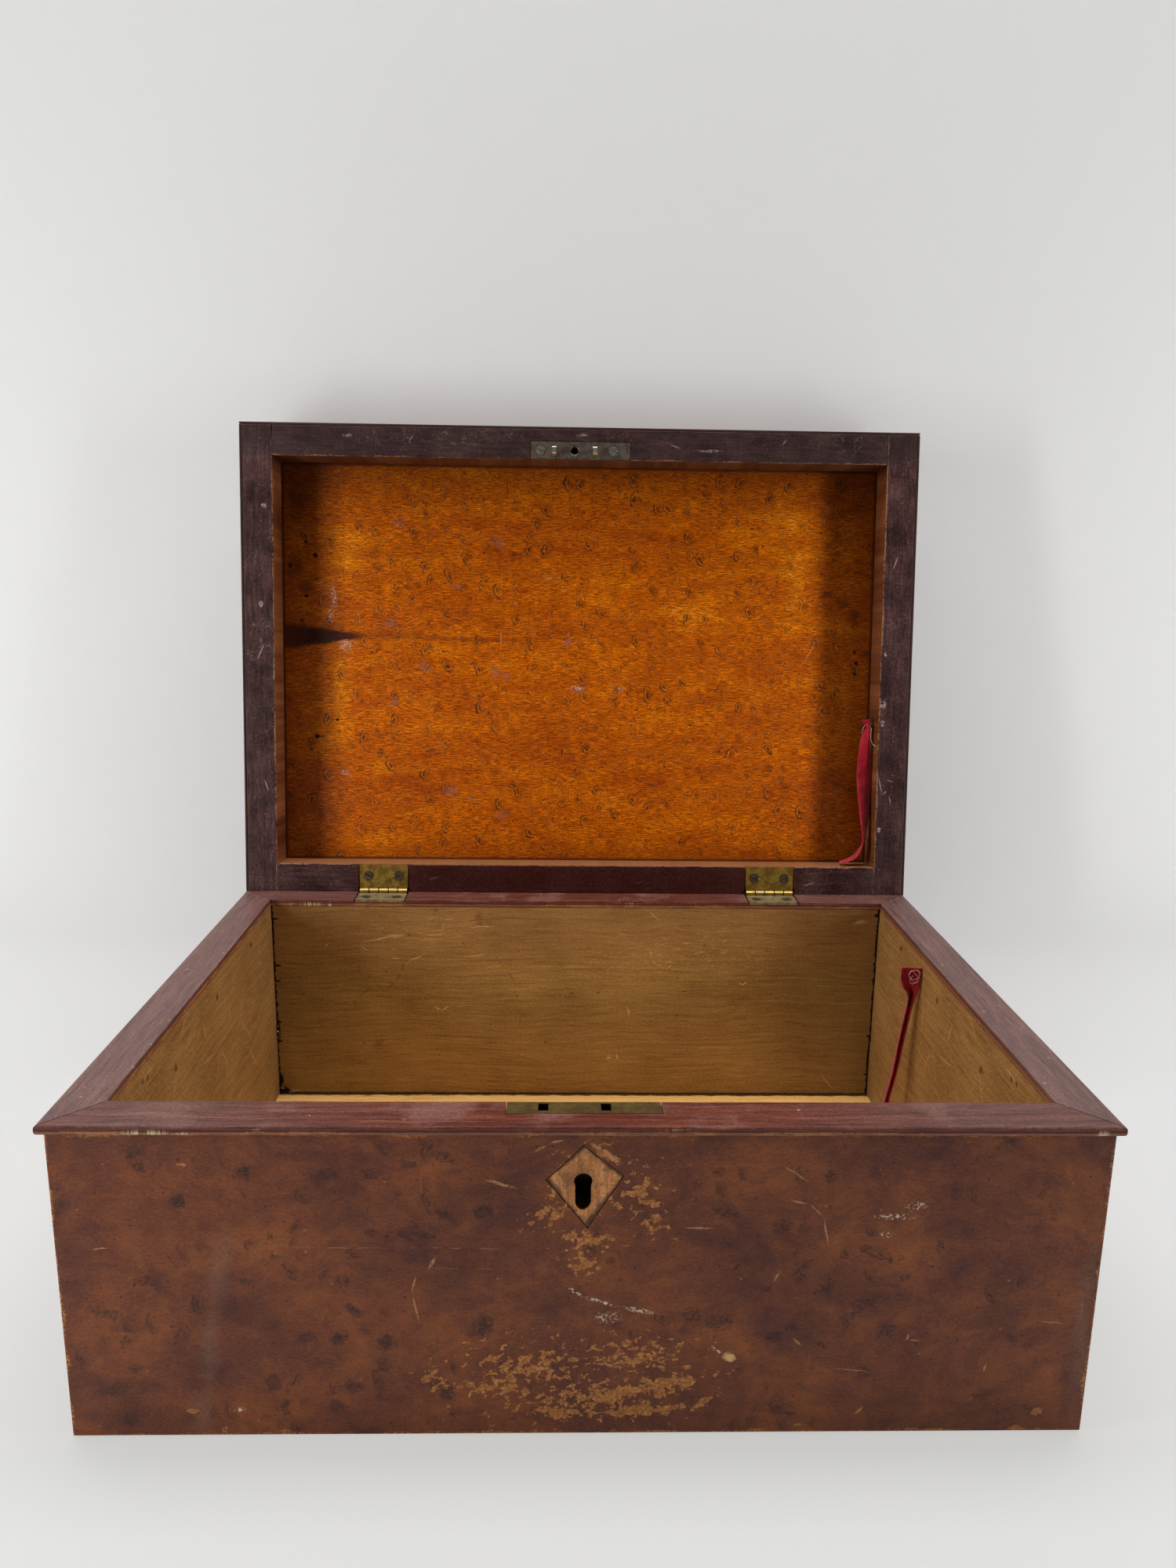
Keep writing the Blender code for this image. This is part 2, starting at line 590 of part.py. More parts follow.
def make_hinges(hinge, boards, strips, lid):
    """Makes both butt hinges with their pins and screws, and seats them in the rim and the lid."""
    rim_pocket = bmesh.new()
    lid_pocket = bmesh.new()
    pocket_half = HINGE_LENGTH / 2 + PIN_OVERRUN + SEAT_GAP
    behind = HINGE_INSET + CUT_PAST
    slot_degs = {"left": (28, 4), "right": (0, -18)}
    for side, end in (("left", -1), ("right", 1)):
        centre = end * (HALF_W - HINGE_FROM_END)
        outline = [(AXIS_Y + a, AXIS_Z + b) for a, b in hinge_pocket(-1, behind)]
        add_prism(rim_pocket, outline, "X", centre - pocket_half, centre + pocket_half)
        add_prism(lid_pocket, hinge_pocket(1, behind), "X", centre - pocket_half, centre + pocket_half)
        screw_xs = [centre - HINGE_SCREW_PITCH / 2, centre + HINGE_SCREW_PITCH / 2]

        heads = [(x, -HINGE_SCREW_REACH, HALF_GAP) for x in screw_xs]
        holes = screw_holes(f"{side}_lid_holes", heads, (0, 0, 1), HINGE_SCREW_LENGTH, hinge)
        lid_knuckles = range(0, KNUCKLE_COUNT, 2)
        make_leaf(f"hinge_{side}_lid_leaf", 1, lid_knuckles, (centre, 0, 0), holes, hinge)
        screws = f"hinge_{side}_lid_screw"
        make_screws(screws, heads, (0, 0, 1), HINGE_SCREW_LENGTH, slot_degs[side], "dark_steel", hinge)
        cut(lid["back_rail"], holes)

        heads = [(x, AXIS_Y - HINGE_SCREW_REACH, AXIS_Z - HALF_GAP) for x in screw_xs]
        holes = screw_holes(f"{side}_base_holes", heads, (0, 0, -1), HINGE_SCREW_LENGTH)
        base_knuckles = range(1, KNUCKLE_COUNT, 2)
        make_leaf(f"hinge_{side}_base_leaf", -1, base_knuckles, (centre, AXIS_Y, AXIS_Z), holes, None)
        screws = f"hinge_{side}_base_screw"
        make_screws(screws, heads, (0, 0, -1), HINGE_SCREW_LENGTH, (40, -35), "dark_steel")
        cut(strips["back"], holes)
        cut(boards["back"], holes)

        length = HINGE_LENGTH + 2 * PIN_OVERRUN
        dome = 0.6 * PIN_RADIUS
        profile = [(0, 0), (dome, 0.2 * PIN_RADIUS), (PIN_RADIUS, dome), (PIN_RADIUS, length - dome)]
        profile += [(dome, length - 0.2 * PIN_RADIUS), (0, length)]
        bm = bmesh.new()
        add_turned(bm, profile, (-length / 2, 0, 0), (1, 0, 0))
        pin = make(f"hinge_{side}_pin", bm, "hinge_brass", None, True)
        pin.location = (centre, AXIS_Y, AXIS_Z)
    cut(strips["back"], make("rim_hinge_pockets", rim_pocket))
    pockets = make("lid_hinge_pockets", lid_pocket, None, hinge)
    cut(lid["back_rail"], pockets)
    cut(lid["back_veneer"], pockets)


# Lock, keyhole and escutcheon


def keyhole_outline(x, z):
    """A round hole for the key's shank over a slot for its bit, ending in a half circle."""
    half = KEYHOLE_SLOT / 2
    open_deg = math.degrees(math.asin(half / KEYHOLE_RADIUS))
    upper = arc(x, z, KEYHOLE_RADIUS, 270 + open_deg, 630 - open_deg, 14)
    return upper + arc(x, z - KEYHOLE_LENGTH + half, half, 180, 360, 8)


def escutcheon_outline(grow):
    """A kite standing on its long end, tilted a little, widened by a clearance."""
    centre_x = KEYHOLE_X + ESCUTCHEON_SHIFT
    centre_z = BASE_HEIGHT - KEY_DROP + ESCUTCHEON_ABOVE_KEY
    tilt = math.radians(ESCUTCHEON_TILT_DEG)
    corner = math.sqrt(2) * grow
    wide = ESCUTCHEON_HALF_WIDTH + corner
    points = [(0, ESCUTCHEON_UP + corner), (-wide, 0), (0, -ESCUTCHEON_DOWN - corner), (wide, 0)]
    turned = []
    for a, b in points:
        turned.append((centre_x + a * math.cos(tilt) - b * math.sin(tilt),
                       centre_z + a * math.sin(tilt) + b * math.cos(tilt)))
    return turned


def make_lock_case(strips, boards):
    """Makes the lock's selvedge, back plate and walls in one, and cuts its seat in the rim and the board."""
    top = BASE_HEIGHT
    plate_end = top - LOCK_HEIGHT - LOCK_FLANGE
    half = SELVEDGE_LENGTH / 2
    angle = [(LOCK_FACE - SELVEDGE_WIDTH, top), (LOCK_FACE, top), (LOCK_FACE, plate_end)]
    angle += [(LOCK_FACE - LOCK_PLATE_THICK, plate_end), (LOCK_FACE - LOCK_PLATE_THICK, top - SELVEDGE_THICK)]
    angle += [(LOCK_FACE - SELVEDGE_WIDTH, top - SELVEDGE_THICK)]
    case = make_prism("lock_case", angle, "X", LOCK_X - half, LOCK_X + half, "lock_brass")

    out, wall = CASE_HALF, CASE_HALF - LOCK_WALL
    roof = top - SELVEDGE_THICK + SEAT_GAP
    floor = top - LOCK_HEIGHT
    walls = [(-out, roof), (-out, floor), (out, floor), (out, roof), (wall, roof), (wall, floor + LOCK_WALL)]
    walls += [(-wall, floor + LOCK_WALL), (-wall, roof)]
    walls = [(LOCK_X + a, b) for a, b in walls]
    cap_back = LOCK_FACE - (SELVEDGE_WIDTH - LOCK_CAP_THICK - SEAT_GAP)
    plate_face = LOCK_FACE - LOCK_PLATE_THICK + SEAT_GAP
    stumps = bmesh.new()
    for x in STAPLE_XS:
        middle = top - (BAR_TOP + BAR_BOTTOM) / 2
        length = plate_face - cap_back
        profile = [(0, 0), (STUMP_RADIUS, 0), (STUMP_RADIUS, length), (0, length)]
        add_turned(stumps, profile, (x, plate_face, middle), (0, -1, 0))
    join(case, make_prism("lock_walls", walls, "Y", cap_back, plate_face), make("lock_stumps", stumps))

    slots = bmesh.new()
    for x in STAPLE_XS:
        side = STAPLE_THICK / 2 + STAPLE_SIDE_GAP
        face = STAPLE_WIDTH / 2 + STAPLE_FACE_GAP
        middle = LOCK_FACE - STAPLE_INSET
        low = (x - side, middle - face, top - SELVEDGE_THICK - CUT_PAST / 2)
        add_box(slots, low, (x + side, middle + face, top + CUT_PAST))
    spread = LOCK_SCREW_SPREAD / 2
    screw_z = plate_end + LOCK_FLANGE / 2
    heads = [(LOCK_X + way * spread, LOCK_FACE, screw_z) for way in (-1, 1)]
    holes = screw_holes("lock_screw_holes", heads, (0, -1, 0), LOCK_SCREW_LENGTH)
    cut(case, make("selvedge_slots", slots), holes)
    make_screws("lock_screw", heads, (0, -1, 0), LOCK_SCREW_LENGTH, (25, -40), "dark_steel")

    notch = LOCK_FACE - SELVEDGE_WIDTH - SEAT_GAP
    above = top + CUT_PAST
    wide = half + SEAT_GAP
    cut(strips["front"], make_box(
        "selvedge_notch",
        (LOCK_X - wide, notch, top - RIM_THICK - CUT_PAST / 2),
        (LOCK_X + wide, LOCK_FACE + CUT_PAST, above),
    ))
    plate_pocket = make_box(
        "lock_plate_pocket",
        (LOCK_X - wide, LOCK_FACE - LOCK_PLATE_THICK - SEAT_GAP, plate_end - SEAT_GAP),
        (LOCK_X + wide, LOCK_FACE + CUT_PAST, above),
    )
    case_pocket = make_box(
        "lock_case_pocket",
        (LOCK_X - CASE_HALF - SEAT_GAP, notch, floor - SEAT_GAP),
        (LOCK_X + CASE_HALF + SEAT_GAP, LOCK_FACE - LOCK_PLATE_THICK, above),
    )
    cut(boards["front"], plate_pocket, case_pocket, holes)


def make_keyway(boards, skins):
    """Makes the lock's cap and drill pin and the escutcheon, and cuts the keyhole through them."""
    key_z = BASE_HEIGHT - KEY_DROP
    cap_front = LOCK_FACE - SELVEDGE_WIDTH
    cap_back = cap_front + LOCK_CAP_THICK
    keyhole = make_prism(
        "keyhole", keyhole_outline(KEYHOLE_X, key_z), "Y", -HALF_D - CUT_PAST, cap_back + SEAT_GAP
    )
    bm = bmesh.new()
    low = (LOCK_X - CASE_HALF, cap_front, BASE_HEIGHT - LOCK_HEIGHT)
    add_box(bm, low, (LOCK_X + CASE_HALF, cap_back, BASE_HEIGHT - SELVEDGE_THICK - SEAT_GAP))
    cap = make("lock_cap", bm, "lock_brass")

    skin_front = -(HALF_D - RIM_OVERHANG)
    outline = escutcheon_outline(0)
    sunk = skin_front + ESCUTCHEON_SINK
    shield = make_prism(
        "keyhole_escutcheon", outline, "Y", sunk, skin_front + VENEER_THICK, "escutcheon_wood"
    )
    seat = make_prism(
        "escutcheon_seat", escutcheon_outline(SEAT_GAP), "Y", -HALF_D, -HALF_D + BOARD_OUT - SEAT_GAP / 2
    )
    cut(skins["front"], seat)
    for target in (shield, boards["front"], cap):
        cut(target, keyhole)

    pin_start = LOCK_FACE - LOCK_PLATE_THICK - SEAT_GAP
    length = pin_start - cap_back - SEAT_GAP
    tip = 0.4 * DRILL_PIN_RADIUS
    profile = [(0, 0), (DRILL_PIN_RADIUS, 0), (DRILL_PIN_RADIUS, length - tip)]
    profile += [(DRILL_PIN_RADIUS - tip, length), (0, length)]
    bm = bmesh.new()
    add_turned(bm, profile, (KEYHOLE_X, pin_start, key_z), (0, -1, 0))
    make("lock_drill_pin", bm, "dark_steel", None, True)


def make_bolt():
    """Makes the sliding bolt, whose fingers enter the staples, and the leaf spring that rides on it."""
    eye_middle = STAPLE_END - STAPLE_TIP - STAPLE_EYE_HEIGHT / 2
    finger_top = eye_middle - BOLT_FINGER / 2
    finger_bottom = eye_middle + BOLT_FINGER / 2
    slot_side = STUMP_RADIUS + SEAT_GAP
    hooks = []
    for x in STAPLE_XS:
        tip = x + STAPLE_THICK / 2 + BOLT_CLEAR
        root = tip + BOLT_THROW + SEAT_GAP
        hooks.append((tip, root, root + BOLT_UPRIGHT))
    left = STAPLE_XS[0] - slot_side - BOLT_CLEAR - STUMP_RADIUS
    right = hooks[1][2]
    talon = KEYHOLE_X + BOLT_THROW / 2
    talon_top = BAR_BOTTOM - BOLT_TALON_HEIGHT
    outline = [(left, BAR_BOTTOM), (left, BAR_TOP)]
    for tip, root, upright in hooks:
        outline += [(root, BAR_TOP), (root, finger_bottom), (tip, finger_bottom), (tip, finger_top)]
        outline += [(upright, finger_top), (upright, BAR_TOP)]
    outline[-1] = (right, BAR_BOTTOM)
    outline += [(talon + BOLT_TALON_WIDTH / 2, BAR_BOTTOM), (talon + BOLT_TALON_WIDTH / 2, talon_top)]
    outline += [(talon - BOLT_TALON_WIDTH / 2, talon_top), (talon - BOLT_TALON_WIDTH / 2, BAR_BOTTOM)]
    middle = LOCK_FACE - STAPLE_INSET
    low_y, high_y = middle - BOLT_THICK / 2, middle + BOLT_THICK / 2
    outline = [(a, BASE_HEIGHT - b) for a, b in outline]
    bolt = make_prism("lock_bolt", outline, "Y", low_y, high_y, "dark_steel")
    slots = bmesh.new()
    bar_middle = BASE_HEIGHT - (BAR_TOP + BAR_BOTTOM) / 2
    for x in STAPLE_XS:
        low = (x - slot_side, low_y - CUT_PAST, bar_middle - slot_side)
        add_box(slots, low, (x + slot_side + BOLT_THROW, high_y + CUT_PAST, bar_middle + slot_side))
    cut(bolt, make("bolt_slots", slots))

    start = hooks[0][2] + SPRING_SIDE_GAP
    stop = STAPLE_XS[1] - STAPLE_THICK / 2 - SPRING_SIDE_GAP
    rest = BASE_HEIGHT - BAR_TOP + SEAT_GAP
    lift = BAR_TOP - SELVEDGE_THICK - 2 * SEAT_GAP - SPRING_THICK
    steps = 10
    lower = []
    for step in range(steps + 1):
        share = step / steps
        rise = max(0.0, (share - 0.3) / 0.7)
        lower.append((start + (stop - start) * share, rest + lift * math.sin(rise * math.pi / 2) ** 2))
    upper = [(a, b + SPRING_THICK) for a, b in reversed(lower)]
    make_prism("bolt_spring", lower + upper, "Y", low_y, high_y, "bright_steel")


def make_link_plate(hinge, lid):
    """Makes the lid's link plate with its staples and screws. Its middle screw hole is empty."""
    inner = -(LID_DEPTH - RIM_BAND)
    middle_y = inner - SEAT_GAP - LINK_PLATE_WIDTH / 2
    half = LINK_PLATE_LENGTH / 2
    low = (LOCK_X - half, inner - SEAT_GAP - LINK_PLATE_WIDTH, HALF_GAP)
    high = (LOCK_X + half, inner - SEAT_GAP, HALF_GAP + LINK_PLATE_THICK)
    bm = bmesh.new()
    add_box(bm, low, high)
    plate = make("link_plate", bm, "lock_brass", hinge)
    pocket = make_box(
        "link_plate_pocket",
        (low[0] - SEAT_GAP, low[1] - SEAT_GAP, -CUT_PAST),
        (high[0] + SEAT_GAP, inner + CUT_PAST, high[2] + SEAT_GAP),
        None,
        hinge,
    )
    heads = []
    for way in (-1, 1):
        heads.append((LOCK_X + LINK_SCREW_SHIFT + way * LINK_SCREW_PITCH / 2, middle_y, HALF_GAP))
    holes = screw_holes("link_screw_holes", heads, (0, 0, 1), LINK_SCREW_LENGTH, hinge)
    make_screws("link_plate_screw", heads, (0, 0, 1), LINK_SCREW_LENGTH, (22, 24), "lock_brass", hinge)
    empty = bmesh.new()
    profile = [(0, -CUT_PAST), (SCREW_HEAD_RADIUS, -CUT_PAST), (SCREW_HEAD_RADIUS, SCREW_GAP)]
    profile += [(LINK_HOLE_RADIUS, LINK_PLATE_THICK / 2), (LINK_HOLE_RADIUS, LINK_SCREW_LENGTH)]
    middle_x = LOCK_X + STAPLE_SHIFT
    add_turned(empty, profile + [(0, LINK_SCREW_LENGTH)], (middle_x, middle_y, HALF_GAP), (0, 0, 1))
    empty_hole = make("link_empty_hole", empty, None, hinge)

    seats = bmesh.new()
    tip = HALF_GAP - STAPLE_DROP
    side = STAPLE_THICK / 2
    face = STAPLE_WIDTH / 2
    back = HALF_GAP + LINK_PLATE_THICK
    low_y, high_y = -STAPLE_REACH - face, -STAPLE_REACH + face
    nip = face / 3
    outline = [(low_y, back), (low_y, tip + nip), (low_y + nip, tip), (high_y - nip, tip)]
    outline += [(high_y, tip + nip), (high_y, back)]
    eye_low = tip + STAPLE_TIP
    eye_side = STAPLE_EYE_WIDTH / 2
    for name, x in zip(("left", "right"), STAPLE_XS):
        staple = make_prism(f"link_staple_{name}", outline, "X", x - side, x + side, "bright_steel", hinge)
        cut(staple, make_box(
            f"{name}_staple_eye",
            (x - side - CUT_PAST, -STAPLE_REACH - eye_side, eye_low),
            (x + side + CUT_PAST, -STAPLE_REACH + eye_side, eye_low + STAPLE_EYE_HEIGHT),
            None,
            hinge,
        ))
        seat_low = (x - side - SCREW_GAP, low_y - SCREW_GAP, -CUT_PAST)
        add_box(seats, seat_low, (x + side + SCREW_GAP, high_y + SCREW_GAP, back + CUT_PAST / 2))
    cut(plate, make("staple_seats", seats, None, hinge), holes, empty_hole)
    cut(lid["front_rail"], pocket, holes, empty_hole)


# Ribbon stay, torn in two


def blend(before, start, stop, after, share):
    """A smooth curve through a row of points: the stretch between start and stop."""
    square, cube = share ** 2, share ** 3
    return 0.5 * (
        2 * start
        + (stop - before) * share
        + (2 * before - 5 * start + 4 * stop - after) * square
        + (3 * start - before - 3 * stop + after) * cube
    )


def smooth_rows(rows):
    """Fills in steps between the rows of a ribbon: place, width direction, half chord and fold."""
    flat = [(*place, *width, chord, fold) for place, width, chord, fold in rows]
    filled = []
    for i in range(len(flat) - 1):
        before, start, stop = flat[max(i - 1, 0)], flat[i], flat[i + 1]
        after = flat[min(i + 2, len(flat) - 1)]
        for step in range(RIBBON_STEPS):
            share = step / RIBBON_STEPS
            filled.append([blend(a, b, c, d, share) for a, b, c, d in zip(before, start, stop, after)])
    filled.append(flat[-1])
    return [(Vector(row[:3]), Vector(row[3:6]), row[6], row[7]) for row in filled]


def make_ribbon(name, rows, parent=None):
    """Makes a ribbon: a thin strip along the rows, creased lengthwise where it is gathered."""
    rows = smooth_rows(rows)
    rings = []
    for i, (place, width, chord, fold) in enumerate(rows):
        along = (rows[min(i + 1, len(rows) - 1)][0] - rows[max(i - 1, 0)][0]).normalized()
        width = (width - along * width.dot(along)).normalized()
        depth = along.cross(width)
        shares = [2 * k / (RIBBON_ACROSS - 1) - 1 for k in range(RIBBON_ACROSS)]
        line = [(share * chord, fold * (0.5 - abs(share) ** 1.4)) for share in shares]
        upper, lower = [], []
        for k, (a, b) in enumerate(line):
            run = Vector(line[min(k + 1, len(line) - 1)]) - Vector(line[max(k - 1, 0)])
            normal = Vector((-run.y, run.x)).normalized() * RIBBON_THICK / 2
            upper.append(place + width * (a + normal.x) + depth * (b + normal.y))
            lower.append(place + width * (a - normal.x) + depth * (b - normal.y))
        rings.append(upper + lower[::-1])
    bm = bmesh.new()
    rings = [[bm.verts.new(point) for point in ring] for ring in rings]
    bm.faces.new(rings[0])
    bm.faces.new(reversed(rings[-1]))
    for first, second in zip(rings, rings[1:]):
        for k in range(len(first)):
            following = (k + 1) % len(first)
            bm.faces.new((first[k], second[k], second[following], first[following]))
    return make(name, bm, "ribbon_cloth", parent, True)


def make_lid_ribbon(hinge, lid):
    """Makes the upper half of the stay: tacked to the right stile, its end curling on the lower rail."""
    corner = Vector((INNER_X, -(RIM_BAND - HINGE_INSET), LID_PANEL))
    # Each row, in ribbon widths: distance from the stile, from the lower rail and from the panel, then the
    # turn of the width in degrees, half the chord and the fold
    rows = (
        (0.35, 7.90, 0.98, 15, 0.30, 0.22),
        (0.31, 7.52, 0.95, 20, 0.11, 0.36),
        (0.36, 6.75, 0.92, 25, 0.28, 0.34),
        (0.41, 5.90, 0.88, 30, 0.40, 0.26),
        (0.45, 5.00, 0.84, 34, 0.48, 0.12),
        (0.42, 4.00, 0.80, 48, 0.50, 0.10),
        (0.36, 2.85, 0.75, 64, 0.50, 0.10),
        (0.32, 1.75, 0.77, 80, 0.50, 0.08),
        (0.54, 0.85, 0.86, 88, 0.50, 0.06),
        (1.05, 0.32, 0.96, 90, 0.50, 0.05),
        (1.65, 0.12, 1.06, 90, 0.48, 0.04),
    )
    placed = []
    for off_stile, off_rail, off_panel, turn, chord, fold in rows:
        angle = math.radians(turn)
        place = corner - RIBBON_WIDTH * Vector((off_stile, off_rail, off_panel))
        width = (math.cos(angle), 0, math.sin(angle))
        placed.append((place, width, RIBBON_WIDTH * chord, RIBBON_WIDTH * fold))
    ribbon = make_ribbon("lid_ribbon", placed, hinge)
    pinch, _, chord, _ = placed[1]
    reach = INNER_X - pinch.x + chord + TACK_HEAD_RADIUS
    head = (INNER_X - reach - TACK_HEAD_THICK, pinch.y, pinch.z)
    _, hole = make_tack("lid_ribbon_tack", head, (1, 0, 0), reach, "dark_steel", hinge)
    cut(ribbon, hole)
    cut(lid["right_stile"], hole)


def make_base_ribbon(boards):
    """Makes the lower half of the stay: a flap tacked to the right wall, with a creased strand hanging."""
    up, forward, inward = (0, 0, 1), (0, -1, 0), (-1, 0, 0)
    tack_z = BASE_HEIGHT - BASE_TACK_DROP
    hang = tack_z - BOTTOM_THICK - RIBBON_FLOOR_CLEAR
    # Each row: distance from the wall and behind the tack in ribbon widths, share of the hang, direction of
    # the width, then half the chord and the fold in ribbon widths
    rows = (
        (0.68, 1.05, 0.000, up, 0.44, 0.06),
        (0.40, 0.55, 0.000, up, 0.47, 0.08),
        (0.16, 0.00, 0.000, up, 0.42, 0.10),
        (0.18, -0.20, 0.074, forward, 0.24, 0.12),
        (0.34, -0.05, 0.134, (-0.7, -0.7, 0), 0.14, 0.24),
        (0.60, 0.10, 0.220, inward, 0.12, 0.30),
        (0.68, 0.20, 0.406, inward, 0.15, 0.28),
        (0.85, 0.20, 0.585, inward, 0.11, 0.26),
        (1.16, 0.20, 0.796, inward, 0.10, 0.24),
        (1.35, 0.15, 1.000, inward, 0.13, 0.24),
    )
    tack_y = BASE_TACK_BACK - HALF_D
    placed = []
    for off_wall, behind, share, width, chord, fold in rows:
        place = (INNER_X - RIBBON_WIDTH * off_wall, tack_y + RIBBON_WIDTH * behind, tack_z - share * hang)
        placed.append((place, width, RIBBON_WIDTH * chord, RIBBON_WIDTH * fold))
    ribbon = make_ribbon("base_ribbon", placed)
    place, _, _, fold = placed[2]
    reach = INNER_X - place[0] + fold + SEAT_GAP
    head = (INNER_X - reach - TACK_HEAD_THICK, tack_y, tack_z)
    _, hole = make_tack("base_ribbon_tack", head, (1, 0, 0), reach, "dark_steel")
    cut(ribbon, hole)
    cut(boards["right"], hole)


def main():
    clear_scene()
    hinge = bpy.data.objects.new("lid_hinge_axis", None)
    bpy.context.scene.collection.objects.link(hinge)
    hinge.location = (0, AXIS_Y, AXIS_Z)
    hinge.rotation_euler = (-math.radians(LID_OPEN_DEG), 0, 0)

    boards = make_carcass()
    skins = make_base_veneers()
    strips = make_rim()
    lid = make_lid(hinge)
    make_hinges(hinge, boards, strips, lid)
    make_lock_case(strips, boards)
    make_keyway(boards, skins)
    make_bolt()
    make_link_plate(hinge, lid)
    make_lid_ribbon(hinge, lid)
    make_base_ribbon(boards)


main()
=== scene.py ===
"""Looks, light and camera for the open document box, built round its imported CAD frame."""
import math

import bpy
import bmesh
from mathutils import Matrix, Vector


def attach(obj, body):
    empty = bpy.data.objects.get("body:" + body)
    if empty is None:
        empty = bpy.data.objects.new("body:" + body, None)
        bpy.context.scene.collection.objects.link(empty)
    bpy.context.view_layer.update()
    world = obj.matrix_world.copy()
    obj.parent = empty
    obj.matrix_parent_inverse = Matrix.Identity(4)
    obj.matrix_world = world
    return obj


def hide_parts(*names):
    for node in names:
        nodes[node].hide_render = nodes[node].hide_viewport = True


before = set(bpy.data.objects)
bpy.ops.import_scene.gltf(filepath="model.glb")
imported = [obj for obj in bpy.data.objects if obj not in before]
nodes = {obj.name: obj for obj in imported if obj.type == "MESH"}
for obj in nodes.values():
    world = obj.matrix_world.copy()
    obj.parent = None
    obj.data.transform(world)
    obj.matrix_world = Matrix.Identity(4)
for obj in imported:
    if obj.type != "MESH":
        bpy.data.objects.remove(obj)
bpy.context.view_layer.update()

# The lid: its hinge axis, how far it leans back past upright, and the opening of its recess, whose half width
# is also that of the base inside
AXIS_Y = 0.12
AXIS_Z = 0.11715
LEAN = math.radians(7.25)
INNER_X = 0.1585
RECESS_LOW = 0.0145
RECESS_HIGH = 0.2255

# The base's rim: its top, how thick it is, and where its rounded nose starts and is upright
RIM_TOP = 0.117
RIM_THICK = 0.0032
NOSE_START = 0.1165
NOSE_UPRIGHT = 0.1159

# Marks are rows in millimetres. Ovals: place on the face, half width, half height and, where turned, degrees.
# Strokes: start, end and half width
MM = 0.001

# Nearly all of a noise lies between these
NOISE_LOW = 0.3
NOISE_HIGH = 0.7

# How rough the wood is where its stain is worn off
BARE_ROUGH = 0.62


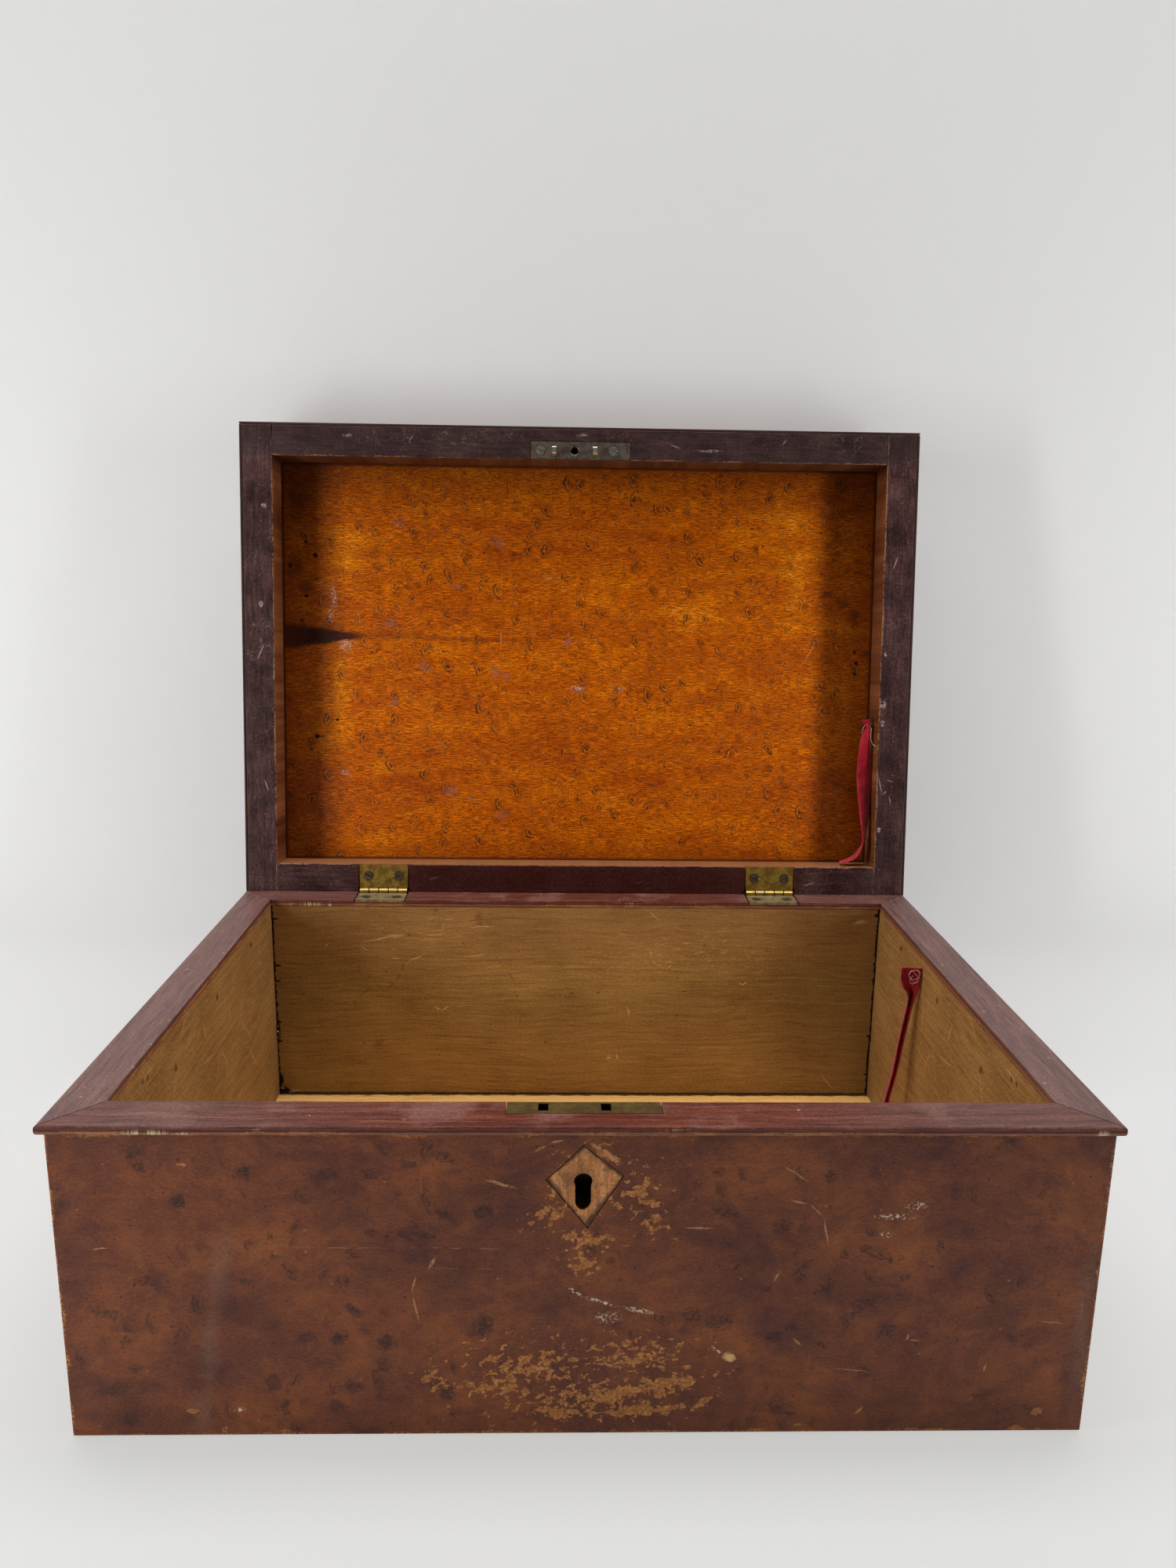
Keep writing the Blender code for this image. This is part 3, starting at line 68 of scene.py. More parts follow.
class Graph:
    """A material's node tree and its colour so far, with a short call for each kind of node."""

    def __init__(self, name):
        self.material = bpy.data.materials.new(name)
        self.material.use_nodes = True
        self.tree = self.material.node_tree
        self.shader = self.tree.nodes["Principled BSDF"]
        self.colour = None

    def put(self, socket, value):
        """Links a socket to another, or sets its value."""
        if isinstance(value, bpy.types.NodeSocket):
            self.tree.links.new(value, socket)
        elif isinstance(value, (tuple, list)) and socket.type == "RGBA":
            socket.default_value = (*value[:3], 1.0)
        else:
            socket.default_value = value

    def node(self, kind, inputs, **settings):
        """A new node with its settings and inputs."""
        made = self.tree.nodes.new("ShaderNode" + kind)
        for key, value in settings.items():
            setattr(made, key, value)
        for key, value in inputs.items():
            self.put(made.inputs[key], value)
        return made

    def set(self, **values):
        """Fills sockets of the shader, whose names have underscores for spaces here."""
        for key, value in values.items():
            self.put(self.shader.inputs[key.replace("_", " ")], value)

    def place(self):
        """The point on the resting part, in metres."""
        return self.node("TexCoord", {}).outputs["Object"]

    def lid_place(self):
        """The point on the lid as if it stood upright: across, into the lid, up from the hinge axis."""
        moved = self.vector("SUBTRACT", self.place(), (0, AXIS_Y, AXIS_Z))
        return self.node("Mapping", {"Vector": moved, "Rotation": (LEAN, 0, 0)}).outputs[0]

    def flat(self, vector, axes, shift=(0, 0)):
        """The place on a face, from two of its axes."""
        parts = dict(zip("XYZ", self.split(vector)))
        made = self.join(parts[axes[0]], parts[axes[1]], 0.0)
        return self.vector("ADD", made, (*shift, 0)) if any(shift) else made

    def vector(self, operation, a, b=None, scale=None):
        """One step of arithmetic on places or colours."""
        made = self.node("VectorMath", {0: a}, operation=operation)
        if b is not None:
            self.put(made.inputs[1], b)
        if scale is not None:
            self.put(made.inputs["Scale"], scale)
        return made.outputs["Value" if operation in ("LENGTH", "DISTANCE") else "Vector"]

    def turn(self, vector, degrees):
        """A place on a face, turned about the face's origin."""
        return self.node("Mapping", {"Vector": vector, "Rotation": (0, 0, math.radians(degrees))}).outputs[0]

    def sway(self, vector, scale, amount, detail=2.0):
        """Moves a place about by a smooth noise, up to about half the amount each way."""
        push = self.vector("SUBTRACT", self.noise(vector, scale, detail, colour=True), (0.5, 0.5, 0.5))
        inputs = {0: push, 1: (amount, amount, amount), 2: vector}
        return self.node("VectorMath", inputs, operation="MULTIPLY_ADD").outputs[0]

    def split(self, vector):
        """The three parts of a place or colour."""
        made = self.node("SeparateXYZ", {0: vector})
        return made.outputs[0], made.outputs[1], made.outputs[2]

    def join(self, x, y, z):
        """A place from its three parts."""
        return self.node("CombineXYZ", {0: x, 1: y, 2: z}).outputs[0]

    def math(self, operation, a, b=0.0):
        """One step of arithmetic on numbers."""
        return self.node("Math", {0: a, 1: b}, operation=operation).outputs[0]

    def add(self, a, b):
        return self.math("ADD", a, b)

    def absolute(self, value):
        return self.math("ABSOLUTE", value)

    def fold(self, operation, values):
        """Numbers taken together, two at a time."""
        found = values[0]
        for value in values[1:]:
            found = self.math(operation, found, value)
        return found

    def mul(self, *values):
        return self.fold("MULTIPLY", values)

    def largest(self, *values):
        return self.fold("MAXIMUM", values)

    def smallest(self, *values):
        return self.fold("MINIMUM", values)

    def blend(self, *pairs):
        """A weighted sum of (value, weight) pairs."""
        found = self.mul(*pairs[0])
        for value, weight in pairs[1:]:
            found = self.node("Math", {0: value, 1: weight, 2: found}, operation="MULTIPLY_ADD").outputs[0]
        return found

    def line(self, value, low, high, to_low, to_high, **settings):
        """A straight change from to_low at low to to_high at high, held beyond both."""
        inputs = {"Value": value, "From Min": low, "From Max": high, "To Min": to_low, "To Max": to_high}
        return self.node("MapRange", inputs, **settings).outputs[0]

    def band(self, value, low, high, to_low=0.0, to_high=1.0):
        """A smooth step: to_low under low, to_high over high."""
        return self.line(value, low, high, to_low, to_high, interpolation_type="SMOOTHSTEP")

    def spread(self, noise, to_low, to_high):
        """A noise turned into a factor from to_low to to_high."""
        return self.line(noise, NOISE_LOW, NOISE_HIGH, to_low, to_high)

    def noise(self, vector, scale, detail, rough=0.5, colour=False):
        """Cloudy noise, as a number or as a colour of three."""
        inputs = {"Vector": vector, "Scale": scale, "Detail": detail, "Roughness": rough}
        return self.node("TexNoise", inputs).outputs["Color" if colour else "Fac"]

    def grain(self, vector, scales, detail, rough=0.5, times=1.0):
        """Noise with its own scale along each axis."""
        drawn = self.vector("MULTIPLY", vector, tuple(times * scale for scale in scales))
        return self.noise(drawn, 1.0, detail, rough)

    def cells(self, flat, spacing):
        """Scattered points on a face."""
        inputs = {"Vector": flat, "Scale": 1 / spacing, "Randomness": 1.0}
        return self.node("TexVoronoi", inputs, voronoi_dimensions="2D", feature="F1")

    def dots(self, flat, spacing, share, radius):
        """Small round dots: a share of the points of a scatter, each of about the given radius."""
        made = self.cells(flat, spacing)
        away = self.vector("DISTANCE", flat, made.outputs["Position"])
        pick, other, _ = self.split(made.outputs["Color"])
        wide = self.line(other, 0, 1, 0.4 * radius, 1.3 * radius)
        shown = self.band(self.math("DIVIDE", away, wide), 1.0, 0.5)
        return self.mul(shown, self.math("LESS_THAN", pick, share))

    def mix(self, share, a, b):
        """A colour from a at share 0 to b at share 1."""
        inputs = {0: share, 6: a, 7: b}
        return self.node("Mix", inputs, data_type="RGBA", clamp_factor=True).outputs[2]

    def between(self, share, a, b):
        """A number from a at share 0 to b at share 1."""
        inputs = {0: share, 2: a, 3: b}
        return self.node("Mix", inputs, data_type="FLOAT", clamp_factor=True).outputs[0]

    def dim(self, colour, factor):
        """A colour made lighter or darker by a number."""
        return self.vector("SCALE", colour, scale=factor)

    def ramp(self, value, stops):
        """A colour from (value, colour) stops."""
        made = self.node("ValToRGB", {0: value})
        elements = made.color_ramp.elements
        while len(elements) < len(stops):
            elements.new(0.5)
        for element, (at, colour) in zip(elements, stops):
            element.position = at
            element.color = (*colour, 1.0)
        return made.outputs[0]

    def oval(self, flat, x, y, rx, ry, degrees=0.0):
        """An oval on a face, from 1 in its middle to 0 at its rim."""
        made = self.node("TexGradient", {"Vector": flat}, gradient_type="SPHERICAL")
        made.texture_mapping.vector_type = "TEXTURE"
        made.texture_mapping.translation = (x * MM, y * MM, 0)
        made.texture_mapping.rotation = (0, 0, math.radians(degrees))
        made.texture_mapping.scale = (rx * MM, ry * MM, 1)
        return made.outputs["Fac"]

    def ovals(self, flat, rows, soft=1.0):
        """Soft ovals. Each joins the others as it is made, because Cycles holds few values at a time."""
        found = self.oval(flat, *rows[0])
        for row in rows[1:]:
            found = self.largest(found, self.oval(flat, *row))
        return self.band(found, 0.0, soft)

    def strokes(self, flat, rows):
        """Tapered scratches."""
        found = []
        for x0, y0, x1, y1, half in rows:
            reach = math.hypot(x1 - x0, y1 - y0) / 2
            degrees = math.degrees(math.atan2(y1 - y0, x1 - x0))
            found.append(((x0 + x1) / 2, (y0 + y1) / 2, reach, half, degrees))
        return self.ovals(flat, found, soft=0.8)

    def coat(self, share, tint, weight=None):
        """Lays a tint over the colour so far, by a share that may have a weight."""
        if weight is not None:
            share = self.mul(share, weight)
        self.colour = self.mix(share, self.colour, tint)

    def shade(self, factor):
        """Makes the colour so far lighter or darker by a number."""
        self.colour = self.dim(self.colour, factor)

    def finished(self, rough, relief, depth, strength, **others):
        """The material: the colour so far, its roughness, its fine relief, and the shader's other sockets."""
        bump = self.node("Bump", {"Strength": strength, "Distance": depth, "Height": relief}).outputs[0]
        self.set(Base_Color=self.colour, Roughness=rough, Normal=bump, **others)
        return self.material


# Across an eye, from its middle to its rim: how dark it is, then how pale
EYE_RINGS = [
    (0.0, (0.55, 0.0, 0.0)), (0.22, (0.9, 0.0, 0.0)), (0.36, (0.55, 0.1, 0.0)), (0.48, (0.0, 0.9, 0.0)),
    (0.6, (0.15, 0.5, 0.0)), (0.74, (0.8, 0.0, 0.0)), (0.86, (0.45, 0.0, 0.0)), (1.0, (0.0, 0.0, 0.0)),
]


def bird_eyes(g, flat, spacing, share, size):
    """Bird's eyes scattered on a face: their dark arcs, the pale line between, how near an eye is, and the
    place bent round it."""
    made = g.cells(flat, spacing)
    pick, lean, grow = g.split(made.outputs["Color"])
    local = g.vector("SUBTRACT", g.sway(flat, 620, 0.003, 3), made.outputs["Position"])
    angle = g.line(lean, 0, 1, -0.9, 0.5)
    local = g.node("VectorRotate", {"Vector": local, "Angle": angle}, rotation_type="Z_AXIS").outputs[0]
    x, y, _ = g.split(local)
    wide = g.line(grow, 0, 1, 0.45 * size, 1.3 * size)
    length = g.vector("LENGTH", g.join(x, g.mul(y, 0.6), 0.0))
    radius = g.math("DIVIDE", length, wide)
    kept = g.math("LESS_THAN", pick, share)
    near = g.mul(g.band(radius, 1.3, 0.3), kept)
    dark, pale, _ = g.split(g.ramp(radius, EYE_RINGS))
    lateral = g.math("DIVIDE", x, g.add(length, 0.0001))
    left = g.mul(g.band(lateral, 0.35, -0.6), kept)
    right = g.mul(g.band(lateral, 0.3, 0.8, 0.0, 0.4), kept)
    bent = g.vector("ADD", flat, g.join(0.0, g.mul(y, near, -0.8), 0.0))
    return g.mul(dark, g.largest(left, right)), g.mul(pale, left), near, bent


# The stained veneer from its darkest to its palest
STAIN = [
    (0.34, (0.068, 0.0215, 0.016)),
    (0.43, (0.112, 0.0332, 0.018)),
    (0.51, (0.162, 0.0472, 0.019)),
    (0.59, (0.222, 0.066, 0.0198)),
    (0.71, (0.292, 0.094, 0.0255)),
]


def stained_maple(name, axes, shift, on_lid, marks):
    """Red-brown stained bird's-eye veneer. marks adds a face's own clouds and wear."""
    g = Graph(name)
    face = g.flat(g.lid_place() if on_lid else g.place(), axes)
    spread = g.vector("ADD", face, (*shift, 0))
    bent = g.sway(g.sway(spread, 26, 0.022), 150, 0.004)
    cloud = g.noise(bent, 22, 5, 0.6)
    blot = g.grain(bent, (110, 150, 1), 5, 0.7)
    crumb = g.grain(spread, (800, 1250, 1), 3, 0.7)
    tone = g.blend((cloud, 0.6), (blot, 0.33), (crumb, 0.07))
    tone = marks.clouds(g, face, tone)
    g.colour = g.ramp(tone, STAIN)
    dark, _, near, bent = bird_eyes(g, bent, spacing=0.0085, share=0.5, size=0.0023)
    clump = g.band(g.noise(spread, 24, 2), 0.46, 0.57)
    dark = g.mul(dark, clump)
    grain = g.grain(bent, (210, 2300, 1), 3, 0.65)
    g.shade(g.spread(grain, 1.11, 0.89))
    g.shade(g.spread(crumb, 0.8, 1.2))
    smudge = g.mul(g.band(g.grain(bent, (130, 210, 1), 4, 0.65), 0.52, 0.66), clump)
    g.coat(smudge, (0.068, 0.024, 0.02), 0.32)
    g.coat(g.mul(near, clump, 0.22), (0.066, 0.021, 0.016))
    g.coat(dark, (0.022, 0.008, 0.007), 0.8)
    pit = g.dots(spread, spacing=0.0055, share=0.22, radius=0.0005)
    g.coat(pit, (0.03, 0.01, 0.008), 0.6)
    fleck = g.dots(g.vector("ADD", spread, (0.3, 0.1, 0)), spacing=0.009, share=0.16, radius=0.0005)
    g.coat(fleck, (0.34, 0.17, 0.075), 0.55)
    rough = g.spread(tone, 0.54, 0.44)
    relief = g.blend((grain, 0.5), (dark, -0.9), (crumb, 0.5))
    rough, relief = marks.wear(g, face, rough, relief)
    return g.finished(rough, relief, depth=0.0001, strength=0.6, Specular_IOR_Level=0.22)


class EdgeMarks:
    """Plain wear for the faces that the photo doesn't show: rubbed arrises and a few hair scratches."""

    def __init__(self, name, axes, on_lid):
        """Finds how far the node called name reaches on its face."""
        turn = Matrix.Rotation(LEAN, 3, "X")
        axis = Vector((0, AXIS_Y, AXIS_Z))
        spots = [turn @ (v.co - axis) if on_lid else v.co for v in nodes[name].data.vertices]
        rows = [[spot["XYZ".index(letter)] for spot in spots] for letter in axes]
        self.reach = [(min(row), max(row)) for row in rows]
        # Which axis of the face runs into the lid, if any
        self.depth = axes.find("Y") if on_lid else -1

    def clouds(self, g, face, tone):
        """The tone of the stain, here left as it is."""
        return tone

    def rubbed(self, g, face, grit, pull):
        """Where the arrises are rubbed bare, to about a third of 1 / pull from the edge."""
        away = []
        for place, (low, high) in zip(g.split(face), self.reach):
            away += [g.add(g.mul(place, -1.0), high), g.add(place, -low)]
        edge = g.smallest(*away)
        ragged = g.noise(face, 75, 4, 0.65)
        return g.mul(g.band(g.blend((edge, -pull), (ragged, 1.0)), 0.34, 0.52), g.band(grit, 0.4, 0.54))

    def wear(self, g, face, rough, relief):
        """Adds the wear to the colour, and gives the roughness and relief with it. A lid's mouth is dark."""
        grit = g.noise(face, 900, 2, 0.6)
        rubbed = self.rubbed(g, face, grit, 110)
        g.coat(rubbed, (0.4, 0.18, 0.066), 0.75)
        line = g.absolute(g.add(g.noise(g.sway(face, 60, 0.01), 34, 3, 0.6), -0.5))
        hair = g.mul(g.band(line, 0.004, 0.0008), g.band(g.noise(face, 12, 2), 0.57, 0.66))
        g.coat(hair, (0.42, 0.2, 0.09), 0.55)
        if self.depth >= 0:
            mouth = g.band(g.split(face)[self.depth], 0.0007, 0.0002)
            g.coat(mouth, (0.034, 0.013, 0.011))
        bare = g.largest(rubbed, hair)
        return g.between(bare, rough, BARE_ROUGH), g.blend((relief, 1.0), (bare, -0.9))


class FrontMarks(EdgeMarks):
    """What the photo shows of the front: clouds of stain, worn patches, eyes, scratches and chips."""

    # Clouds of warmer and darker stain
    WARM = [
        (-86, 54, 34, 24), (-47, 98, 30, 13, 10), (-143, 38, 28, 16, 25), (-140, 98, 16, 12),
        (-167, 92, 10, 26), (160, 88, 20, 18), (82, 27, 40, 18), (32, 64, 26, 16), (-107, 70, 20, 16),
        (60, 98, 30, 14), (-20, 40, 30, 12), (120, 70, 26, 10), (-70, 60, 40, 30),
    ]
    DARK = [
        (-166, 22, 18, 26), (-141, 60, 22, 13, -20), (-116, 84, 24, 12, -10), (-62, 72, 24, 12, 20),
        (-33, 88, 24, 14), (95, 56, 34, 13), (146, 40, 22, 22), (62, 44, 22, 12, -20), (-60, 105, 34, 7),
        (-150, 8, 40, 8), (110, 104, 50, 10), (-40, 24, 30, 12), (168, 20, 8, 30), (150, 62, 26, 20),
    ]
    # Where the stain is rubbed off in flakes, and where it is gone
    RUBBED = [
        (-1, 96, 24, 17), (18, 92, 18, 13, -30), (5, 108, 15, 6, -35), (-13, 85, 13, 9, 20),
        (0, 75, 17, 9), (22, 82, 12, 9, -40), (1, 66, 12, 7, -20), (-18, 27, 46, 17), (18, 31, 36, 14),
        (4, 15, 58, 16, 2), (28, 19, 26, 7, 8), (18, 9, 34, 5, 5), (-28, 19, 34, 12), (-50, 22, 12, 10),
    ]
    SOLID = [
        (-9, 84, 6, 3.0, 30), (8, 105, 6, 2.0, -40), (5, 76, 9, 1.9, 18), (-2, 66, 7, 2.2),
        (-5, 77, 4, 2.0, 30), (11, 88, 3, 4), (28, 20.5, 20, 3.6, 9), (14, 17, 14, 3.0, 8),
        (20, 9.5, 30, 2.6, 4), (-8, 8.5, 13, 4.0), (41, 13, 8, 3.0, 25),
    ]
    # Scratches
    SCRATCHES = [
        (-162, 72.1, -154.5, 72.4, 0.5), (-48.8, 69.5, -52.2, 63.6, 0.8), (-55.7, 62.2, -57.3, 55, 0.45),
        (-57.4, 56, -54.8, 42.5, 0.5), (-17.5, 106.4, -12, 110.2, 0.5), (-12.5, 110, -6.5, 111.5, 0.5),
        (0.5, 111, 6, 107, 0.9), (4, 109, 12, 102, 1.0), (-34, 97.3, -21.5, 93.7, 0.8),
        (31, 79.6, 44, 79.3, 0.45), (2, 28.6, 14.8, 26.5, 0.75), (-19, 27, -10, 25.6, 0.6),
        (62.8, 58.6, 65.2, 64.3, 0.5), (62.8, 103.2, 74, 95.2, 0.4), (66, 90, 73.5, 88.1, 0.5),
        (73, 88.4, 78.8, 83.2, 0.5), (78.3, 84, 80.9, 71.8, 0.5), (109, 36.2, 110.3, 40, 0.5),
        (109.5, 37.2, 114.5, 36.7, 0.3), (70.5, 38, 74, 34.5, 0.5), (93.5, 7.5, 96.8, 10.8, 0.7),
        (137, 24, 137.6, 28, 0.5), (84, 26, 100, 24.3, 0.3), (153, 44, 164, 43, 0.3),
    ]
    # Knots and bird's eyes
    KNOTS = [
        (-132, 89, 5, 4, -20), (-111, 99, 5, 3.6, 10), (-84, 99, 6, 4), (-70, 100, 4.4, 3.4),
        (-58, 103, 4, 3), (-92, 38.6, 5, 3.4, 20), (-82, 39, 5, 3.4, 20), (-104, 21, 4, 5),
        (-66, 36, 4, 5.4, -20), (-77, 19, 5.4, 4), (-83, 11.5, 5.4, 3.4), (-145, 107, 5, 3),
        (-47, 84, 3.6, 3.2), (-33, 86, 4.6, 4.2), (-58, 78, 7, 3, 20), (-46, 17, 4, 6),
        (-35, 43, 5, 7, -35), (-77, 49, 6, 2.6, -30), (-101, 11, 4, 5, 20),
    ]
    EYES = [
        (-46, 85, 3.0, 2.2), (-34, 86, 4.4, 3.4, 20), (-70, 78, 4, 2.6), (-53, 77, 6, 2, -20),
        (-66, 37, 3.2, 3.6, -30), (-82, 38, 4.4, 2.2, 10), (-73, 41, 2.6, 2.0), (-77, 49, 4, 1.6, -20),
        (-78, 20, 4.2, 3.2), (-68, 26, 4, 1.4, 10), (-33, 43, 4, 5.4, -30), (-46, 17, 3.4, 4.4, -30),
        (-62, 91, 2.4, 2), (-46, 105, 6, 3, -20), (46, 85, 7, 3), (51, 65, 2.6, 1.9, 30), (65, 80, 6, 4),
        (72, 61, 4, 3), (81, 56, 4.4, 1.7, -30), (61, 57, 3.4, 1.6, 30), (64, 38, 5, 3, 20),
        (80, 35, 4.4, 1.7, -20), (70, 42, 3, 1.6), (91, 47, 3.0, 1.8, 30), (103, 68, 4, 1.6, 10),
        (107, 61, 3, 2), (96, 24, 2.6, 3.6), (45, 44, 7, 5, 10), (36, 47, 5, 4), (80, 98, 3, 3),
        (102, 41, 5, 6, -30), (118, 72, 2, 4), (-146, 105, 2.6, 2), (-144, 102, 3.2, 4, 30),
        (-132, 89, 3, 2.8), (-110, 100, 3.6, 2.8), (-146, 60, 5, 2.4, 20), (-112, 60, 3, 2.4),
        (-156, 19, 9, 3, 20), (-158, 48, 10, 2.6, -15),
    ]
    # Cracks, scuffs, dust, a milky veil, chips and one dent
    CRACK = [(-104, 72.4, -60, 72.2, 0.28), (-64, 72.3, -19, 71.9, 0.3), (-60, 65, -20, 64.0, 0.18)]
    SCUFF = [
        (-7, 58.5, 0.5, 53.2, 0.9), (-1, 54.2, 12, 49.6, 1.0), (10, 50.3, 25.8, 47.2, 1.2),
        (41, 36, 48, 31, 0.7),
    ]
    DUSTY = [
        (102, 83.6, 10, 1.6), (109, 87.5, 5, 2.4, 10), (99.5, 77, 3, 2), (8, 46, 6, 3),
        (-116.4, 10.6, 4.2, 1.3),
    ]
    VEIL = [
        (-120, 66, 6, 22, -8), (-125, 36, 5, 24, -8), (-129, 10, 6, 16, -8), (168, 59, 5, 3),
        (169, 40, 4, 50),
    ]
    CHIPS = [
        (-132, 10.2, 3.2, 1.3), (-121.6, 2.6, 1.5, 2.4), (-101, 1.8, 3, 1.5), (157, 8.5, 3, 2.4),
        (-130, 102.3, 2.4, 0.8), (60, 1.2, 6, 1.6), (74, 3.4, 3, 1.0, 20), (122, 1.0, 9, 1.4),
        (-30, 0.8, 26, 0.9), (150, 1.5, 4, 2.2), (26, 1.0, 12, 1.0),
    ]
    DING = [(49.4, 30.5, 3.8, 3.0, -20)]

    def clouds(self, g, face, tone):
        """The tone of the stain, warmer and darker in places."""
        soft = g.sway(face, 60, 0.014, 3)
        warm = g.ovals(soft, self.WARM)
        dark = g.ovals(soft, self.DARK)
        return g.blend((tone, 1.0), (warm, 0.045), (dark, -0.055))

    def wear(self, g, face, rough, relief):
        """Adds the wear to the colour, and gives the roughness and relief with it."""
        grit = g.noise(face, 900, 2, 0.6)
        knot = g.ovals(g.sway(face, 300, 0.0085, 4), self.KNOTS)
        g.coat(g.band(knot, 0.05, 0.6, 0.0, 0.45), (0.058, 0.021, 0.0165))
        ring = g.band(g.absolute(g.add(knot, -0.62)), 0.16, 0.05)
        g.coat(ring, (0.024, 0.009, 0.007), 0.3)
        eye = g.ovals(g.sway(face, 420, 0.0042, 4), self.EYES)
        strands = g.turn(g.sway(face, 260, 0.006, 3), -35)
        feather = g.band(g.grain(strands, (480, 1500, 1), 3, 0.6), 0.45, 0.57, 0.15, 1.0)
        g.coat(g.mul(g.band(eye, 0.02, 0.6, 0.0, 0.8), feather), (0.034, 0.0145, 0.013))
        slant = g.turn(g.sway(face, 140, 0.004), -14)
        flake = g.blend((g.grain(slant, (290, 390, 1), 3, 0.55), 0.8), (grit, 0.2))
        reach = g.ovals(face, self.RUBBED)
        solid = g.ovals(g.sway(face, 160, 0.006, 3), self.SOLID)
        push = g.blend((g.mul(reach, reach), 0.152), (solid, 0.175))
        rubbed = g.mul(g.band(g.add(flake, push), 0.612, 0.648), g.band(reach, 0.0, 0.06))
        ragged = g.sway(face, 500, 0.0018)
        scratch = g.mul(g.strokes(g.sway(face, 260, 0.0012), self.SCRATCHES), g.band(grit, 0.32, 0.5))
        crack = g.strokes(g.sway(face, 200, 0.0008), self.CRACK)
        crack = g.mul(crack, g.band(g.noise(face, 160, 2), 0.42, 0.6))
        chip = g.band(g.add(g.ovals(ragged, self.CHIPS), g.mul(grit, 0.35)), 0.42, 0.6)
        tan = g.mix(g.band(grit, 0.35, 0.65), (0.3, 0.108, 0.026), (0.58, 0.255, 0.07))
        g.coat(g.mul(rubbed, g.spread(g.noise(face, 300, 3), 0.5, 1.0)), tan)
        g.coat(chip, tan, 0.6)
        g.coat(scratch, (0.5, 0.245, 0.1), 0.85)
        g.coat(crack, (0.42, 0.21, 0.105), 0.55)
        scuff = g.mul(g.strokes(face, self.SCUFF), g.band(grit, 0.47, 0.58))
        dusty = g.mul(g.ovals(face, self.DUSTY), g.band(grit, 0.5, 0.6))
        g.coat(g.largest(scuff, dusty), (0.8, 0.64, 0.47), 0.9)
        veil = g.mul(g.ovals(g.sway(face, 90, 0.008, 3), self.VEIL), g.spread(grit, 0.05, 0.32))
        g.coat(veil, (0.27, 0.19, 0.14))
        ding = g.ovals(ragged, self.DING)
        g.coat(g.band(ding, 0.05, 0.3, 0.0, 0.6), (0.06, 0.03, 0.02))
        # A pale gold middle: partly its own colour, partly a painted highlight
        g.coat(g.band(g.add(ding, g.mul(grit, 0.6)), 0.45, 1.15), (0.7, 0.4, 0.16))
        arris = self.rubbed(g, face, grit, 150)
        g.coat(arris, tan, 0.7)
        bare = g.largest(rubbed, chip, scratch, arris)
        relief = g.blend((relief, 1.0), (bare, -0.9), (ding, -2.0))
        return g.between(bare, rough, BARE_ROUGH), relief


# The front strip's nose, where its varnish is worn and where it has flaked off
NOSE_WORN = [
    (-166, 115, 22, 9), (-150, 114, 12, 8), (-100, 115, 40, 6), (20, 115, 60, 9), (70, 115, 40, 7),
    (0, 116, 10, 8),
]
NOSE_FLAKES = [
    (-140, 114.4, 12, 2.0), (-128, 114.2, 4, 1.4), (167, 114.5, 3, 2.0), (-105, 116.5, 2, 1.0),
    (28, 116.6, 8, 1.0),
]


